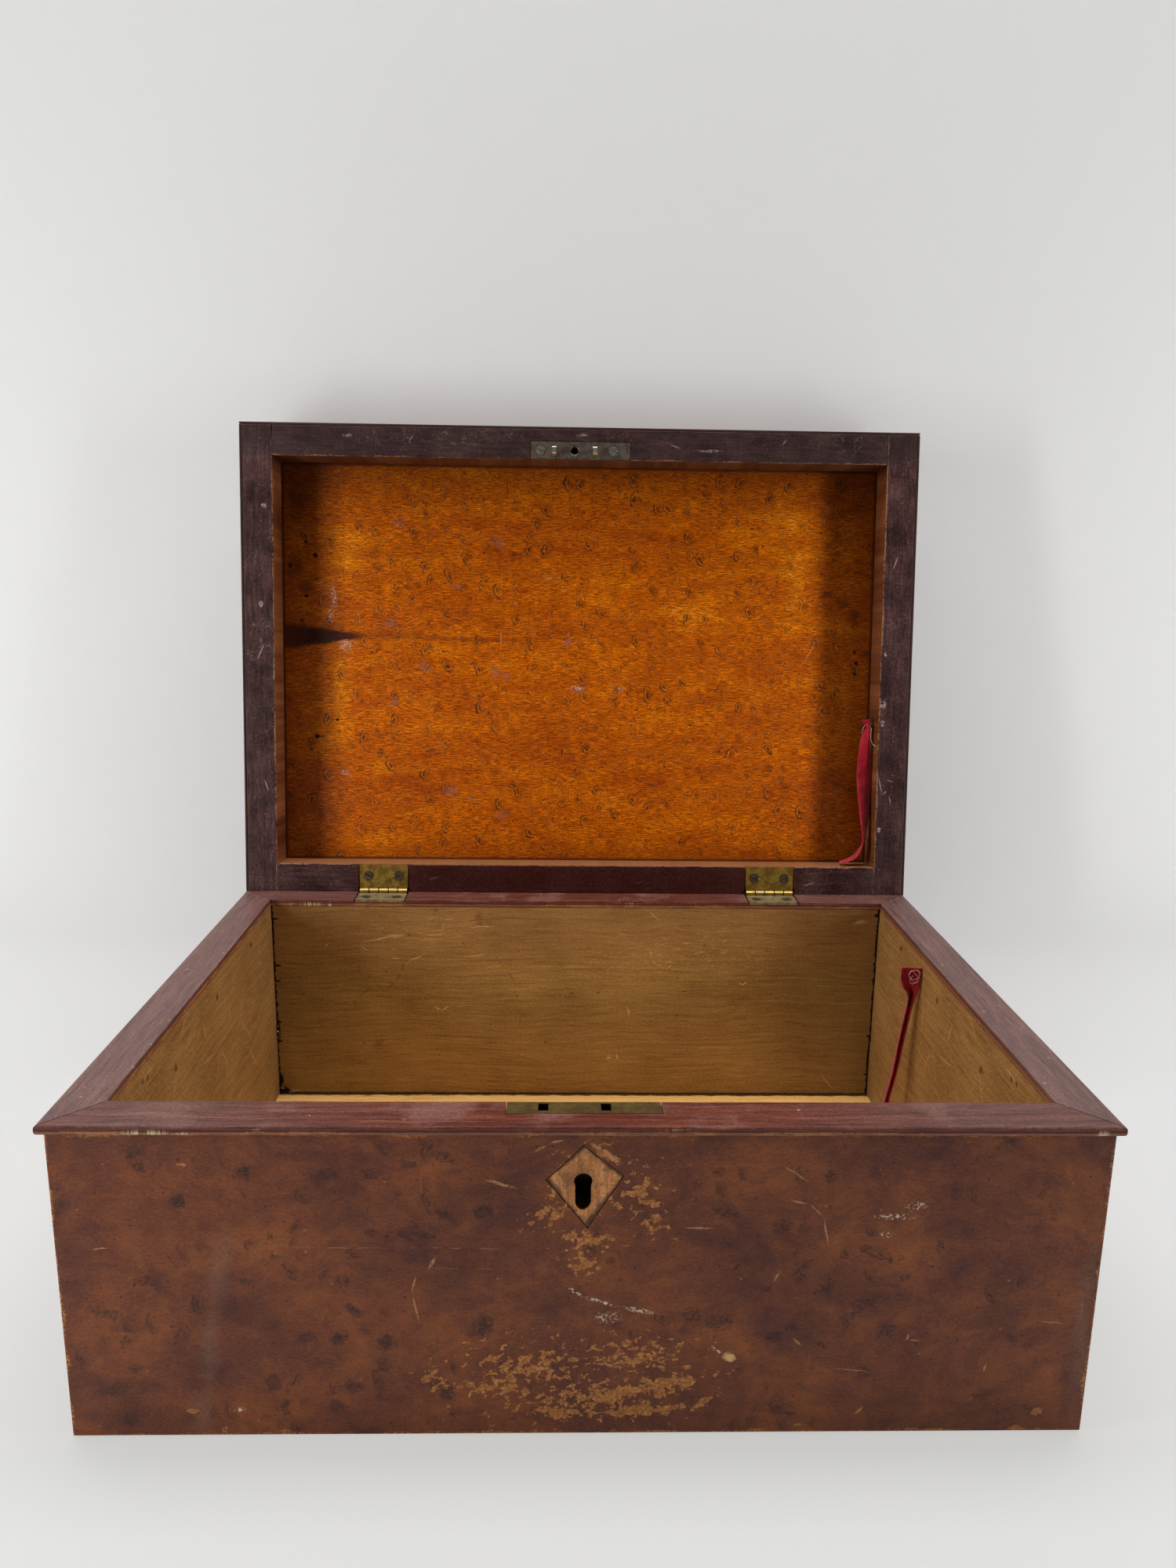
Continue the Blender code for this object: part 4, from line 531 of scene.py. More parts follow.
def mahogany(name, axes, along, shift, dust_and_sheen_grey, gloss):
    """The rim's thinly varnished mahogany, its pores along the strip, greyer towards the ends."""
    g = Graph(name)
    place = g.place()
    face = g.flat(place, axes, shift)
    pull = (26, 700, 1) if along == axes[0] else (700, 26, 1)
    bent = g.sway(g.sway(face, 40, 0.004), 240, 0.0012)
    pores = g.grain(bent, pull, 3, 0.7, 2.2)
    fibre = g.grain(bent, pull, 4, 0.68, 0.6)
    g.colour = g.ramp(fibre, [
        (0.3, (0.042, 0.01, 0.0065)), (0.44, (0.09, 0.0225, 0.013)),
        (0.56, (0.13, 0.0345, 0.019)), (0.72, (0.205, 0.07, 0.042)),
    ])
    g.coat(g.band(pores, 0.5, 0.62, 0.0, 0.7), (0.036, 0.01, 0.009))
    rub = g.noise(face, 34, 4, 0.66)
    g.coat(g.band(rub, 0.5, 0.66, 0.0, 0.5), (0.225, 0.11, 0.09))
    g.coat(g.band(rub, 0.5, 0.34, 0.0, 0.6), (0.105, 0.021, 0.014))
    grit = g.noise(face, 800, 3, 0.65)
    across, _, height = g.split(place)
    # Greyer towards the ends and on the short strips: partly dust, partly a painted sheen of reflected light
    dust_and_painted_sheen = g.mul(g.band(g.absolute(across), 0.03, 0.15), dust_and_sheen_grey)
    streaks = g.mul(g.spread(fibre, 0.66, 1.34), g.spread(pores, 1.42, 0.58))
    g.coat(dust_and_painted_sheen, g.dim((0.124, 0.066, 0.058), streaks))
    right_end = g.band(across, 0.12, 0.17, 1.0, 0.9)
    g.shade(g.mul(g.spread(grit, 0.7, 1.26), right_end))
    nick = g.dots(face, spacing=0.01, share=0.24, radius=0.0006)
    g.coat(nick, (0.4, 0.25, 0.17), 0.6)
    side = g.band(height, NOSE_START, NOSE_UPRIGHT)
    patch = g.grain(place, (75, 75, 420), 4, 0.65)
    level = g.blend((height, 1 / RIM_THICK), (patch, 0.35), (1.0, (RIM_THICK - RIM_TOP) / RIM_THICK - 0.17))
    # Up the nose: paler worn foot, a dark line, then a pale upper arris that is a painted highlight
    nose = g.ramp(level, [
        (0.06, (0.19, 0.07, 0.04)), (0.36, (0.23, 0.09, 0.054)), (0.47, (0.056, 0.015, 0.011)),
        (0.6, (0.1, 0.029, 0.0215)), (0.9, (0.215, 0.093, 0.07)),
    ])
    front = g.flat(place, "XZ")
    worn = g.add(g.mul(g.ovals(front, NOSE_WORN), 0.13), g.blend((patch, 0.8), (grit, 0.2)))
    chip = g.mul(g.band(worn, 0.56, 0.64), g.band(level, 0.56, 0.44))
    nose = g.mix(g.mul(chip, 0.85), nose, (0.36, 0.15, 0.06))
    flake = g.mul(g.ovals(front, NOSE_FLAKES), g.band(grit, 0.44, 0.54))
    nose = g.mix(flake, nose, (0.62, 0.5, 0.29))
    g.coat(side, nose)
    rough = g.spread(rub, 0.38, 0.52)
    relief = g.blend((pores, -0.8), (grit, 0.4))
    return g.finished(rough, relief, depth=0.00014, strength=0.7, Specular_IOR_Level=gloss)


# Bare wood from its darkest grain to its palest: the long walls, the short walls and the bottom
TAN = [
    (0.39, (0.16, 0.085, 0.023)), (0.46, (0.265, 0.154, 0.045)), (0.53, (0.352, 0.212, 0.065)),
    (0.61, (0.47, 0.296, 0.098)),
]
OCHRE = [
    (0.4, (0.12, 0.057, 0.0165)), (0.46, (0.205, 0.106, 0.0325)), (0.52, (0.268, 0.145, 0.0455)),
    (0.6, (0.365, 0.208, 0.069)),
]
PALE = [
    (0.36, (0.46, 0.22, 0.056)), (0.45, (0.68, 0.36, 0.098)), (0.53, (0.82, 0.46, 0.135)),
    (0.64, (0.9, 0.56, 0.19)),
]


def raw_wood(name, axes, along, shift, stops, marks):
    """The bare planed wood inside the base. marks is a function that adds a board's own marks."""
    g = Graph(name)
    face = g.flat(g.place(), axes)
    moved = g.vector("ADD", face, (*shift, 0))
    bent = g.sway(g.sway(moved, 14, 0.012), 110, 0.0016)
    pull = (20, 520, 1) if along == axes[0] else (520, 20, 1)
    fibre = g.grain(bent, pull, 4, 0.7)
    hair = g.grain(bent, pull, 3, 0.7, 3.4)
    blotch = g.noise(moved, 24, 4, 0.6)
    speck = g.noise(moved, 760, 3, 0.7)
    tone = g.blend((fibre, 0.26), (hair, 0.3), (blotch, 0.2), (speck, 0.24))
    g.colour = g.ramp(tone, stops)
    line = g.grain(bent, pull, 2, 0.5, 0.8)
    g.coat(g.band(line, 0.64, 0.7, 0.0, 0.45), stops[0][1])
    dirt = g.dots(moved, spacing=0.014, share=0.25, radius=0.0008)
    g.coat(dirt, (0.06, 0.028, 0.012), 0.6)
    relief = g.blend((fibre, 0.6), (hair, 0.5), (speck, 0.4))
    relief = marks(g, face, relief, speck)
    return g.finished(0.66, relief, depth=0.00018, strength=0.7, Specular_IOR_Level=0.2)


# Where the key goes through the front, and the back wall's marks
KEYHOLE = (-0.9, 97)
BACK_SCRATCHES = [
    (-117, 93.4, -86, 99.3, 0.6), (-91.4, 82, -77.6, 88.6, 0.5), (-61.3, 85.8, -45, 88, 0.45),
    (-81.5, 97.9, -66.6, 99.4, 0.5), (-102, 97.8, -88, 97.9, 0.6), (-113, 92, -109, 89.1, 0.5),
    (-132, 91, -129, 94, 0.7), (-98, 85.6, -91.3, 84.9, 0.5), (-76.2, 58.8, -70.5, 56.0, 0.5),
    (-72, 56, -66.2, 58.8, 0.5), (85.4, 72.8, 88.4, 71.0, 0.6), (87.4, 71.0, 90.6, 73.2, 0.7),
    (38.6, 91.8, 39.3, 85.2, 0.4), (39.0, 86, 42.6, 82.5, 0.4), (27, 59.4, 28, 52.0, 0.5),
    (16, 28.8, 19.8, 29.4, 0.7), (22, 32.4, 22.6, 27.8, 0.6), (47.6, 81.2, 50, 81.6, 0.7),
    (75.6, 94.2, 79.4, 97.7, 0.4), (37.2, 112.6, 42.6, 106.4, 0.4), (143.4, 106, 153.8, 107.4, 1.4),
    (131, 22, 142, 9, 0.4), (-70, 106, -63, 108, 0.4), (-60, 102, -40, 104, 0.5),
]
BACK_LINES = [
    (-90, 84.6, -92.4, 76.5, 0.7), (-92, 77.4, -95.4, 72, 0.8), (-94.6, 72.8, -101, 67.3, 0.8),
    (-101, 67.6, -107, 71, 0.6), (-106.4, 71, -116, 62.6, 0.7), (-115.6, 63, -117.6, 58, 0.6),
    (-43.6, 88.3, -37.2, 79, 0.5), (-37.6, 79.6, -31, 71, 0.45), (-89, 82.8, 2, 86.2, 0.45),
    (-78, 91.5, -46, 90.9, 0.35), (-78, 70.4, 2, 72.2, 0.3), (-154, 87.3, -121, 87.6, 0.3),
    (-87, 42.2, -25, 39.4, 0.35), (-68, 25.7, 3, 24.4, 0.4), (10, 45, 70, 43, 0.35),
    (20, 38, 110, 36, 0.3),
]
BACK_STAINS = [
    (-104.8, 36.9, 5.5, 3.4, 50), (-51.4, 109, 3.6, 3), (-50.6, 105, 3, 2.4), (99.8, 90.7, 0.9, 1.2),
    (87.7, 48.8, 1.4, 0.8),
]
BACK_GAPS = [
    (-158, 106.6, 3.4, 0.8), (-158, 80.9, 4.2, 0.7), (-158.2, 72.2, 3.2, 0.8), (-158.4, 49.4, 3.2, 0.9),
    (-158.6, 38.2, 3.6, 0.9), (-158.2, 44, 1.7, 8.6), (-158.4, 16, 2.6, 5.0), (-156.4, 9.6, 4.2, 3.0),
    (158.6, 110.2, 3.6, 1.4), (158.8, 83.2, 2.2, 1.0), (158.6, 74.4, 2.2, 1.0), (158.8, 42.3, 3.4, 0.8),
    (158.8, 20.2, 3.0, 0.8), (158.4, 28, 1.4, 10), (158.6, 60, 1.2, 14), (158.6, 95, 1.4, 12),
]
BACK_STREAKS = [(-84, 98, 52, 17, 6), (60, 90, 90, 26)]
PALE_ZONE = [(-76, 100, 62, 20, 8), (30, 84, 90, 30), (-40, 80, 60, 24)]
CRUMBS = [(-157, 12, 2.4, 3.4), (-151, 9.4, 6, 1.6), (-157.8, 44, 1.3, 7)]


def back_wall(g, face, relief, speck):
    """The long walls' scratches, dark lines, the open joints at their ends, and the keyhole in the front."""
    zone = g.ovals(g.sway(face, 40, 0.02, 3), PALE_ZONE)
    g.shade(g.line(zone, 0, 1, 0.98, 1.2))
    dash = g.grain(g.sway(face, 160, 0.004), (150, 900, 1), 2, 0.6)
    streak = g.mul(g.band(dash, 0.58, 0.68), g.ovals(face, BACK_STREAKS))
    loose = g.sway(face, 300, 0.0014)
    pale = g.largest(g.mul(g.strokes(loose, BACK_SCRATCHES), 0.9), g.mul(streak, 0.65))
    g.coat(pale, (0.72, 0.46, 0.19))
    dark = g.mul(g.strokes(loose, BACK_LINES), g.line(speck, 0.35, 0.6, 0.3, 0.75))
    g.coat(dark, (0.12, 0.055, 0.018))
    stain = g.mul(g.ovals(g.sway(face, 240, 0.003), BACK_STAINS), 0.6)
    g.coat(stain, (0.13, 0.06, 0.02))
    x, z, _ = g.split(face)
    across = g.absolute(x)
    # Painted shade: darker towards the ends, where the short walls shade them; a little lighter low, darker
    # high
    ends = g.mul(g.band(across, 0.08, 0.15, 1.0, 0.74), g.band(x, 0.08, 0.15, 1.0, 0.84))
    g.shade(g.mul(ends, g.line(z, 0.02, 0.11, 1.1, 0.92)))
    g.coat(g.band(z, 0.08, 0.035, 0.0, 0.1), (0.4, 0.23, 0.125))
    g.coat(g.band(z, 0.07, 0.1, 0.0, 0.18), (0.38, 0.11, 0.04))
    joint = g.blend((across, 1 / MM), (g.grain(face, (200, 420, 1), 3, 0.6), 3.2))
    gap = g.largest(g.band(joint, 159.0, 159.6), g.ovals(g.sway(face, 700, 0.001), BACK_GAPS, 0.35))
    # Painted shade deepening over the last ten millimetres into the corners
    g.coat(g.band(joint, 148, 158.5, 0.0, 0.25), (0.15, 0.07, 0.022))
    g.coat(gap, (0.006, 0.004, 0.003))
    crumb = g.mul(g.ovals(face, CRUMBS), g.band(speck, 0.56, 0.62))
    g.coat(crumb, (0.7, 0.62, 0.5))
    # The keyhole, painted near black on the front board: painted shade for the hole
    key = g.ovals(face, [(*KEYHOLE, 7, 12)], 0.2)
    _, depth, _ = g.split(g.place())
    front_wall = g.band(depth, -0.1, -0.103)
    g.coat(g.mul(key, front_wall), (0.004, 0.003, 0.002))
    bottom_line = g.band(g.blend((z, 1 / MM), (speck, 1.6)), 10.2, 9.2)
    g.coat(bottom_line, (0.018, 0.009, 0.004), 0.8)
    return g.blend((relief, 1.0), (gap, -3.0), (dark, -0.6))


# The short walls' marks
SIDE_DENTS = [
    (12.5, 102.8, 2.2, 2.4, 60), (-74.5, 107.8, 1.6, 1.8), (67.6, 106.6, 1.8, 2.2),
    (65.6, 107.2, 1.6, 1.8), (-69.9, 107.1, 1.4, 1.8), (-41.8, 96.8, 2.2, 2.6, 30),
]
SIDE_SCRATCHES = [
    (28.8, 97, 29, 77, 0.4), (53.5, 89, 34, 71, 0.4), (-8.4, 103, -3, 88, 0.5), (11, 79, -20, 85, 0.4),
    (49, 44.4, 29, 44, 0.6), (-23.5, 113.6, -37, 105, 0.4), (-10.8, 99.4, -16.5, 96.2, 0.5),
    (-79, 107.6, -60, 109.2, 0.4), (14.4, 78, 22.6, 64, 0.4), (84, 108, 86, 103, 0.5),
    (60, 60, 40, 84, 0.35), (70, 40, 52, 62, 0.35), (-50, 80, -38, 98, 0.35), (0, 60, 18, 86, 0.35),
]


def side_wall(g, face, relief, speck):
    """The short walls' slanting scratches and small dents."""
    slant = g.turn(g.sway(face, 60, 0.006), 38)
    fine = g.grain(slant, (140, 1500, 1), 2, 0.6)
    scratch = g.mul(g.strokes(g.sway(face, 200, 0.0018), SIDE_SCRATCHES), 0.5)
    pale = g.largest(scratch, g.band(fine, 0.58, 0.74, 0.0, 0.34))
    g.coat(pale, (0.7, 0.4, 0.16))
    dent = g.ovals(g.sway(face, 400, 0.001), SIDE_DENTS, 0.8)
    g.coat(dent, (0.05, 0.022, 0.01), 0.85)
    return g.blend((relief, 1.0), (dent, -2.0))


def floor_marks(g, face, relief, speck):
    """The dark line where the bottom meets the back wall."""
    _, y, _ = g.split(face)
    edge = g.blend((y, 1 / MM), (g.grain(face, (140, 300, 1), 3, 0.6), 4.0))
    line = g.band(edge, 105.4, 106.6)
    g.coat(line, (0.02, 0.01, 0.005), 0.9)
    return relief


# The lid frame's marks
FRAME_SCRATCHES = [
    (159, 64.6, 161.6, 53.5, 0.4), (161.5, 53.6, 164.2, 56.2, 0.35), (165.0, 54.0, 166.6, 47.8, 0.3),
    (163, 62, 168, 60.4, 0.25), (-80, 6.2, -72.5, 8.2, 0.9), (-89, 233, -86, 237, 0.5),
    (103, 234, 106, 238, 0.5), (44, 234.5, 52, 231.5, 0.5), (120, 4, 128, 7, 0.4), (30, 5, 36, 6.4, 0.4),
    (-168, 120, -163, 131, 0.4), (-165, 60, -162, 52, 0.4), (166, 180, 163, 171, 0.4),
]
FRAME_SPECKS = [
    (160.3, 101.6, 2.2, 2.6), (160.6, 91.6, 1.6, 2.2), (66, 231, 8, 1.0), (160.5, 35, 1.4, 1.8),
    (161, 128, 1.4, 1.4), (-163, 200, 1.6, 1.6), (-165, 150, 1.4, 2.0), (-120, 236, 3, 1.2),
    (0, 238, 4, 1.0),
]


def dark_frame(name, along, shift):
    """The lid frame: dark rubbed varnish in front, plain reddish wood on the walls of the recess."""
    g = Graph(name)
    upright = g.lid_place()
    across, depth, height = g.split(upright)
    face = g.flat(upright, "XZ", shift)
    pull = (60, 640, 1) if along == "X" else (640, 60, 1)
    fibre = g.grain(g.sway(face, 40, 0.003), pull, 4, 0.7)
    rub = g.noise(face, 46, 4, 0.65)
    grit = g.noise(face, 640, 3, 0.65)
    tone = g.blend((fibre, 0.36), (rub, 0.38), (grit, 0.26))
    g.colour = g.ramp(tone, [
        (0.38, (0.008, 0.0026, 0.0026)), (0.46, (0.027, 0.0095, 0.0088)),
        (0.54, (0.058, 0.023, 0.0205)), (0.66, (0.13, 0.062, 0.053)),
    ])
    g.shade(g.spread(g.noise(face, 1300, 3, 0.7), 0.48, 1.58))
    speck = g.dots(face, spacing=0.0046, share=0.3, radius=0.0003)
    g.coat(speck, (0.3, 0.21, 0.18), 0.6)
    across = g.absolute(across)
    line = g.absolute(g.add(g.noise(g.sway(face, 60, 0.01), 90, 3, 0.6), -0.5))
    top_rail = g.band(height, RECESS_HIGH - 0.001, RECESS_HIGH + 0.001)
    worn = g.blend((g.noise(face, 26, 2), 1.0), (top_rail, 0.13))
    hair = g.mul(g.band(line, 0.006, 0.001), g.band(worn, 0.6, 0.7), 0.5)
    loose = g.flat(upright, "XZ")
    stroke = g.strokes(loose, FRAME_SCRATCHES)
    chalk = g.mul(g.ovals(loose, FRAME_SPECKS, 0.5), g.band(grit, 0.42, 0.52))
    scratch = g.largest(hair, stroke, chalk)
    g.coat(scratch, (0.46, 0.35, 0.29), 0.6)
    if along == "X":
        low = g.absolute(g.add(height, -RECESS_LOW))
        away = g.smallest(low, g.absolute(g.add(height, -RECESS_HIGH)))
    else:
        away = g.absolute(g.add(across, -INNER_X))
    ragged = g.grain(face, (90, 90, 1), 4, 0.65)
    chip = g.mul(g.band(g.blend((away, -300), (ragged, 1.0)), 0.36, 0.46), g.band(grit, 0.36, 0.5))
    g.coat(chip, (0.3, 0.145, 0.072), 0.75)
    low_rail = g.band(height, 0.015, 0.014)
    red = g.dim((0.036, 0.0052, 0.0034), g.spread(grit, 0.5, 1.6))
    g.coat(g.mul(low_rail, g.band(across, 0.13, 0.095), 0.85), red)
    g.coat(top_rail, (0.025, 0.015, 0.015), 0.5)
    inside = g.band(depth, 0.0004, 0.0011)
    wood = g.ramp(fibre, [
        (0.35, (0.075, 0.02, 0.006)), (0.5, (0.15, 0.045, 0.0135)), (0.68, (0.255, 0.092, 0.033)),
    ])
    # Painted shade: the recess walls darker at the top, under the top rail
    wood = g.dim(wood, g.band(height, 0.22, 0.226, 1.0, 0.55))
    wood = g.mix(g.band(height, 0.016, 0.0148, 0.0, 0.75), wood, (0.26, 0.11, 0.042))
    g.coat(inside, wood)
    rough = g.spread(rub, 0.36, 0.52)
    relief = g.blend((fibre, 0.6), (grit, 0.4), (chip, -1.0))
    return g.finished(rough, relief, depth=0.00016, strength=0.8, Specular_IOR_Level=0.24)


# The lid panel's marks: a dark smear and its faint ends, bloom, frosted patches, yellower and redder wood,
# stains, dark spots, cracks and pale lines
SMEAR = [(-154, 134.7, 20, 10), (-143, 134.8, 22, 7.5), (-136, 135, 30, 4.5)]
FAINT = [(-52, 134, 32, 2.6), (-100, 135.5, 34, 4), (-75, 134.5, 40, 2)]
LILAC = [
    (-97, 195, 4, 3.5, -30), (-44, 185, 5, 3, -20), (-66, 162, 3, 3), (-101, 142, 5, 4), (-6, 133, 3, 4),
    (-83, 119, 4.5, 2.5, -30), (-45, 117, 4, 4), (-39, 114.5, 3, 3), (0, 108, 5, 3), (22, 107.5, 3, 2.5),
    (-99, 100, 3.5, 3), (-69, 51.5, 6, 4), (-41, 39, 4, 3), (-127, 61, 3, 3), (-58, 48, 3, 2),
]
FROST = [
    (-131.5, 156, 2.6, 9, 8), (-133, 147, 2.2, 7), (-125, 131, 6, 6, 30), (-1, 108.4, 5, 2.2),
    (-126, 61.8, 4, 2.2), (22, 108.8, 2, 1.5),
]
YELLOW = [
    (-125, 178, 14, 26), (-128, 104, 10, 34), (112, 198, 26, 12, -20), (116, 160, 14, 30),
    (88, 112, 26, 9, -35), (60, 150, 30, 14),
]
RED = [
    (-74, 156, 40, 12), (-42, 148, 40, 12), (-108, 164, 16, 10), (66, 188, 40, 12), (-16, 78, 50, 14),
    (-84, 56, 30, 12), (20, 60, 40, 12),
]
STAINS = [
    (142, 156, 7, 4), (147, 149, 6, 5), (133, 160, 5, 3), (-151, 172, 6, 9), (-146, 160, 7, 5),
    (-150, 205, 8, 14),
]
SPOTS = [
    (-146, 184.4, 1.3, 1.2), (-141, 177.4, 1.8, 1.5), (-154.4, 172, 1.6, 2.0), (-146, 156, 1.4, 1.2),
    (-148.5, 143, 1.2, 1.0), (149.4, 129.5, 1.0, 1.6), (150.5, 123.6, 1.2, 1.8), (149.8, 117.7, 1.0, 1.6),
    (-141, 81, 1.8, 1.5), (-130, 90, 1.0, 1.0),
]
FINE_CRACKS = [
    (-39.2, 223, -39.1, 205.6, 0.35), (-40, 206.2, -30, 206.5, 0.4), (-30.4, 207, -30.4, 202, 0.3),
]
PALE_LINES = [(-42.2, 141, -42.1, 129, 0.3), (-20.9, 165, -13.2, 168.2, 0.5), (120, 120, 131, 140, 0.25)]


def amber_panel(name):
    """The lid's varnished bird's-eye maple seen from inside, with painted shade by its recess walls."""
    g = Graph(name)
    face = g.flat(g.lid_place(), "XZ")
    waved = g.sway(g.sway(face, 30, 0.008, 3), 170, 0.0016)
    dark, pale, near, bent = bird_eyes(g, waved, spacing=0.0092, share=0.44, size=0.0024)
    clump = g.band(g.noise(face, 21, 3), 0.42, 0.53, 0.4, 1.0)
    thin = g.grain(bent, (190, 2600, 1), 2, 0.5)
    dash = g.grain(bent, (520, 2000, 1), 2, 0.5)
    broad = g.grain(bent, (40, 130, 1), 3, 0.6)
    cloud = g.grain(g.sway(face, 20, 0.03), (8, 30, 1), 4, 0.6)
    soft = g.sway(face, 40, 0.02, 3)
    yellow = g.ovals(soft, YELLOW)
    red = g.ovals(soft, RED)
    tone = g.blend((cloud, 0.44), (broad, 0.34), (1.0, 0.11), (yellow, 0.11), (red, -0.08))
    g.colour = g.ramp(tone, [
        (0.34, (0.23, 0.035, 0.0006)), (0.45, (0.38, 0.076, 0.0009)),
        (0.53, (0.462, 0.105, 0.0011)), (0.62, (0.58, 0.162, 0.0025)), (0.74, (0.76, 0.27, 0.011)),
    ])
    g.shade(g.band(thin, 0.37, 0.61, 1.54, 0.6))
    g.coat(g.band(dash, 0.53, 0.61, 0.0, 0.68), (0.165, 0.021, 0.0005))
    g.shade(g.spread(g.noise(face, 1300, 3, 0.7), 0.7, 1.34))
    g.coat(g.mul(pale, clump, 0.55), (0.72, 0.27, 0.02))
    g.coat(g.mul(near, clump, 0.3), (0.19, 0.032, 0.001))
    g.coat(g.mul(g.band(dark, 0.08, 0.65), clump, 0.85), (0.066, 0.014, 0.0014))
    dot = g.dots(face, spacing=0.0075, share=0.3, radius=0.0007)
    g.coat(dot, (0.07, 0.014, 0.002), 0.7)
    grit = g.noise(face, 900, 2, 0.6)
    lilac = g.mul(g.ovals(g.sway(face, 200, 0.004), LILAC), g.line(grit, 0.35, 0.65, 0.25, 0.8))
    g.coat(lilac, (0.21, 0.1, 0.085))
    frost = g.mul(g.ovals(face, FROST), g.band(grit, 0.46, 0.6))
    g.coat(frost, (0.66, 0.5, 0.38), 0.8)
    stain = g.ovals(g.sway(face, 90, 0.008, 3), STAINS)
    g.coat(stain, (0.085, 0.015, 0.002), 0.7)
    ragged = g.sway(face, 130, 0.004, 3)
    smear = g.band(g.ovals(ragged, SMEAR), 0.06, 0.55)
    g.coat(smear, (0.016, 0.0055, 0.004), 0.93)
    g.coat(g.ovals(ragged, FAINT), (0.15, 0.025, 0.003), 0.65)
    g.coat(g.ovals(face, SPOTS, 0.5), (0.012, 0.0045, 0.003))
    g.coat(g.strokes(face, FINE_CRACKS), (0.045, 0.012, 0.003), 0.8)
    g.coat(g.strokes(face, PALE_LINES), (0.7, 0.36, 0.13), 0.6)
    x, z, _ = g.split(face)
    across = g.absolute(x)
    to_stile = g.add(g.mul(across, -1.0), INNER_X)
    away = g.smallest(to_stile, g.add(z, -RECESS_LOW), g.add(g.mul(z, -1.0), RECESS_HIGH))
    # Painted shadow: a thin dark line along the foot of the recess walls
    g.coat(g.band(away, 0.0018, 0.0004, 0.0, 0.85), (0.03, 0.01, 0.005))
    # Grime with painted shade, darker towards the recess walls
    grime_and_painted_shade = g.band(g.blend((away, 1.0), (g.noise(face, 60, 3), 0.012)), 0.022, 0.007, 0.0, 0.35)
    g.coat(grime_and_painted_shade, (0.17, 0.027, 0.0015))
    # Painted shade: darker below the top rail and beside the stiles, where their shadows fall
    fade_and_painted_shade = g.mul(g.band(z, 0.186, 0.225, 0.96, 0.46), g.band(across, 0.122, 0.136, 1.0, 0.5))
    g.shade(fade_and_painted_shade)
    relief = g.blend((thin, 0.5), (dash, -0.4), (dark, -0.9), (pale, 0.5))
    rough = g.spread(cloud, 0.38, 0.28)
    return g.finished(rough, relief, depth=0.00014, strength=0.6, Specular_IOR_Level=0.2)


# The kite: the middle of its widest line, its half width, and its height above and below that line
KITE_MIDDLE = (-0.0003, 0.0977)
KITE_HALF = 0.0124
KITE_UP = 0.0114
KITE_DOWN = 0.0181


def escutcheon_wood(name):
    """The worn kite round the keyhole, dark at its edge."""
    g = Graph(name)
    face = g.flat(g.place(), "XZ")
    fibre = g.grain(face, (620, 45, 1), 3, 0.6)
    blotch = g.noise(face, 190, 3, 0.6)
    g.colour = g.ramp(fibre, [
        (0.33, (0.3, 0.11, 0.03)), (0.5, (0.48, 0.195, 0.058)), (0.7, (0.62, 0.29, 0.105)),
    ])
    grit = g.noise(face, 1100, 3, 0.65)
    g.shade(g.spread(grit, 0.62, 1.44))
    g.coat(g.band(blotch, 0.48, 0.64, 0.0, 0.65), (0.18, 0.07, 0.024))
    round_key = g.ovals(face, [(*KEYHOLE, 7, 11)])
    g.coat(round_key, (0.15, 0.055, 0.018), 0.5)
    x, z, _ = g.split(g.vector("SUBTRACT", face, (*KITE_MIDDLE, 0)))
    tall = g.largest(g.mul(z, 1 / KITE_UP), g.mul(z, -1 / KITE_DOWN))
    edge = g.add(g.mul(g.absolute(x), 1 / KITE_HALF), tall)
    edge = g.blend((edge, 1.0), (g.noise(face, 260, 3, 0.65), 0.24))
    g.coat(g.band(edge, 0.98, 1.12, 0.0, 0.85), (0.04, 0.015, 0.007))
    return g.finished(0.52, fibre, depth=0.00012, strength=0.6, Specular_IOR_Level=0.3)


# Each hinge: its middle, the pitch of its knuckles, and its barrel's radius, soft edge and rubbed colour
HINGE_X = 0.1025
KNUCKLE_STEP = 0.00504
BARREL_RADIUS = 0.0022
BARREL_SOFT = 0.0002
BARREL_GOLD = (0.37, 0.24, 0.058)


def aged_metal(name, bright, tarnish, dark, scale, rough):
    """Old brass or steel: a bare colour, its tarnish, and dark dirt. Hinge barrels show their knuckles."""
    g = Graph(name)
    place = g.place()
    film = g.noise(place, scale, 4, 0.65)
    spots = g.noise(place, scale * 3, 3, 0.6)
    g.colour = g.mix(g.band(film, 0.38, 0.62), bright, tarnish)
    g.coat(g.band(spots, 0.6, 0.72, 0.0, 0.75), dark)
    x, y, z = g.split(place)
    along = g.add(g.mul(g.add(g.absolute(x), -HINGE_X), 1 / KNUCKLE_STEP), 0.5)
    joint = g.band(g.math("PINGPONG", along, 0.5), 0.075, 0.03)
    off_axis = g.vector("LENGTH", g.join(g.add(y, -AXIS_Y), g.add(z, -AXIS_Z), 0.0))
    barrel = g.band(off_axis, BARREL_RADIUS + BARREL_SOFT, BARREL_RADIUS)
    g.coat(g.mul(barrel, g.band(film, 0.66, 0.46)), BARREL_GOLD)
    g.coat(g.mul(joint, barrel), tuple(0.2 * part for part in dark))
    roughness = g.add(g.mul(film, 0.3), rough - 0.1)
    return g.finished(roughness, film, depth=0.00006, strength=0.5, Metallic=0.9)


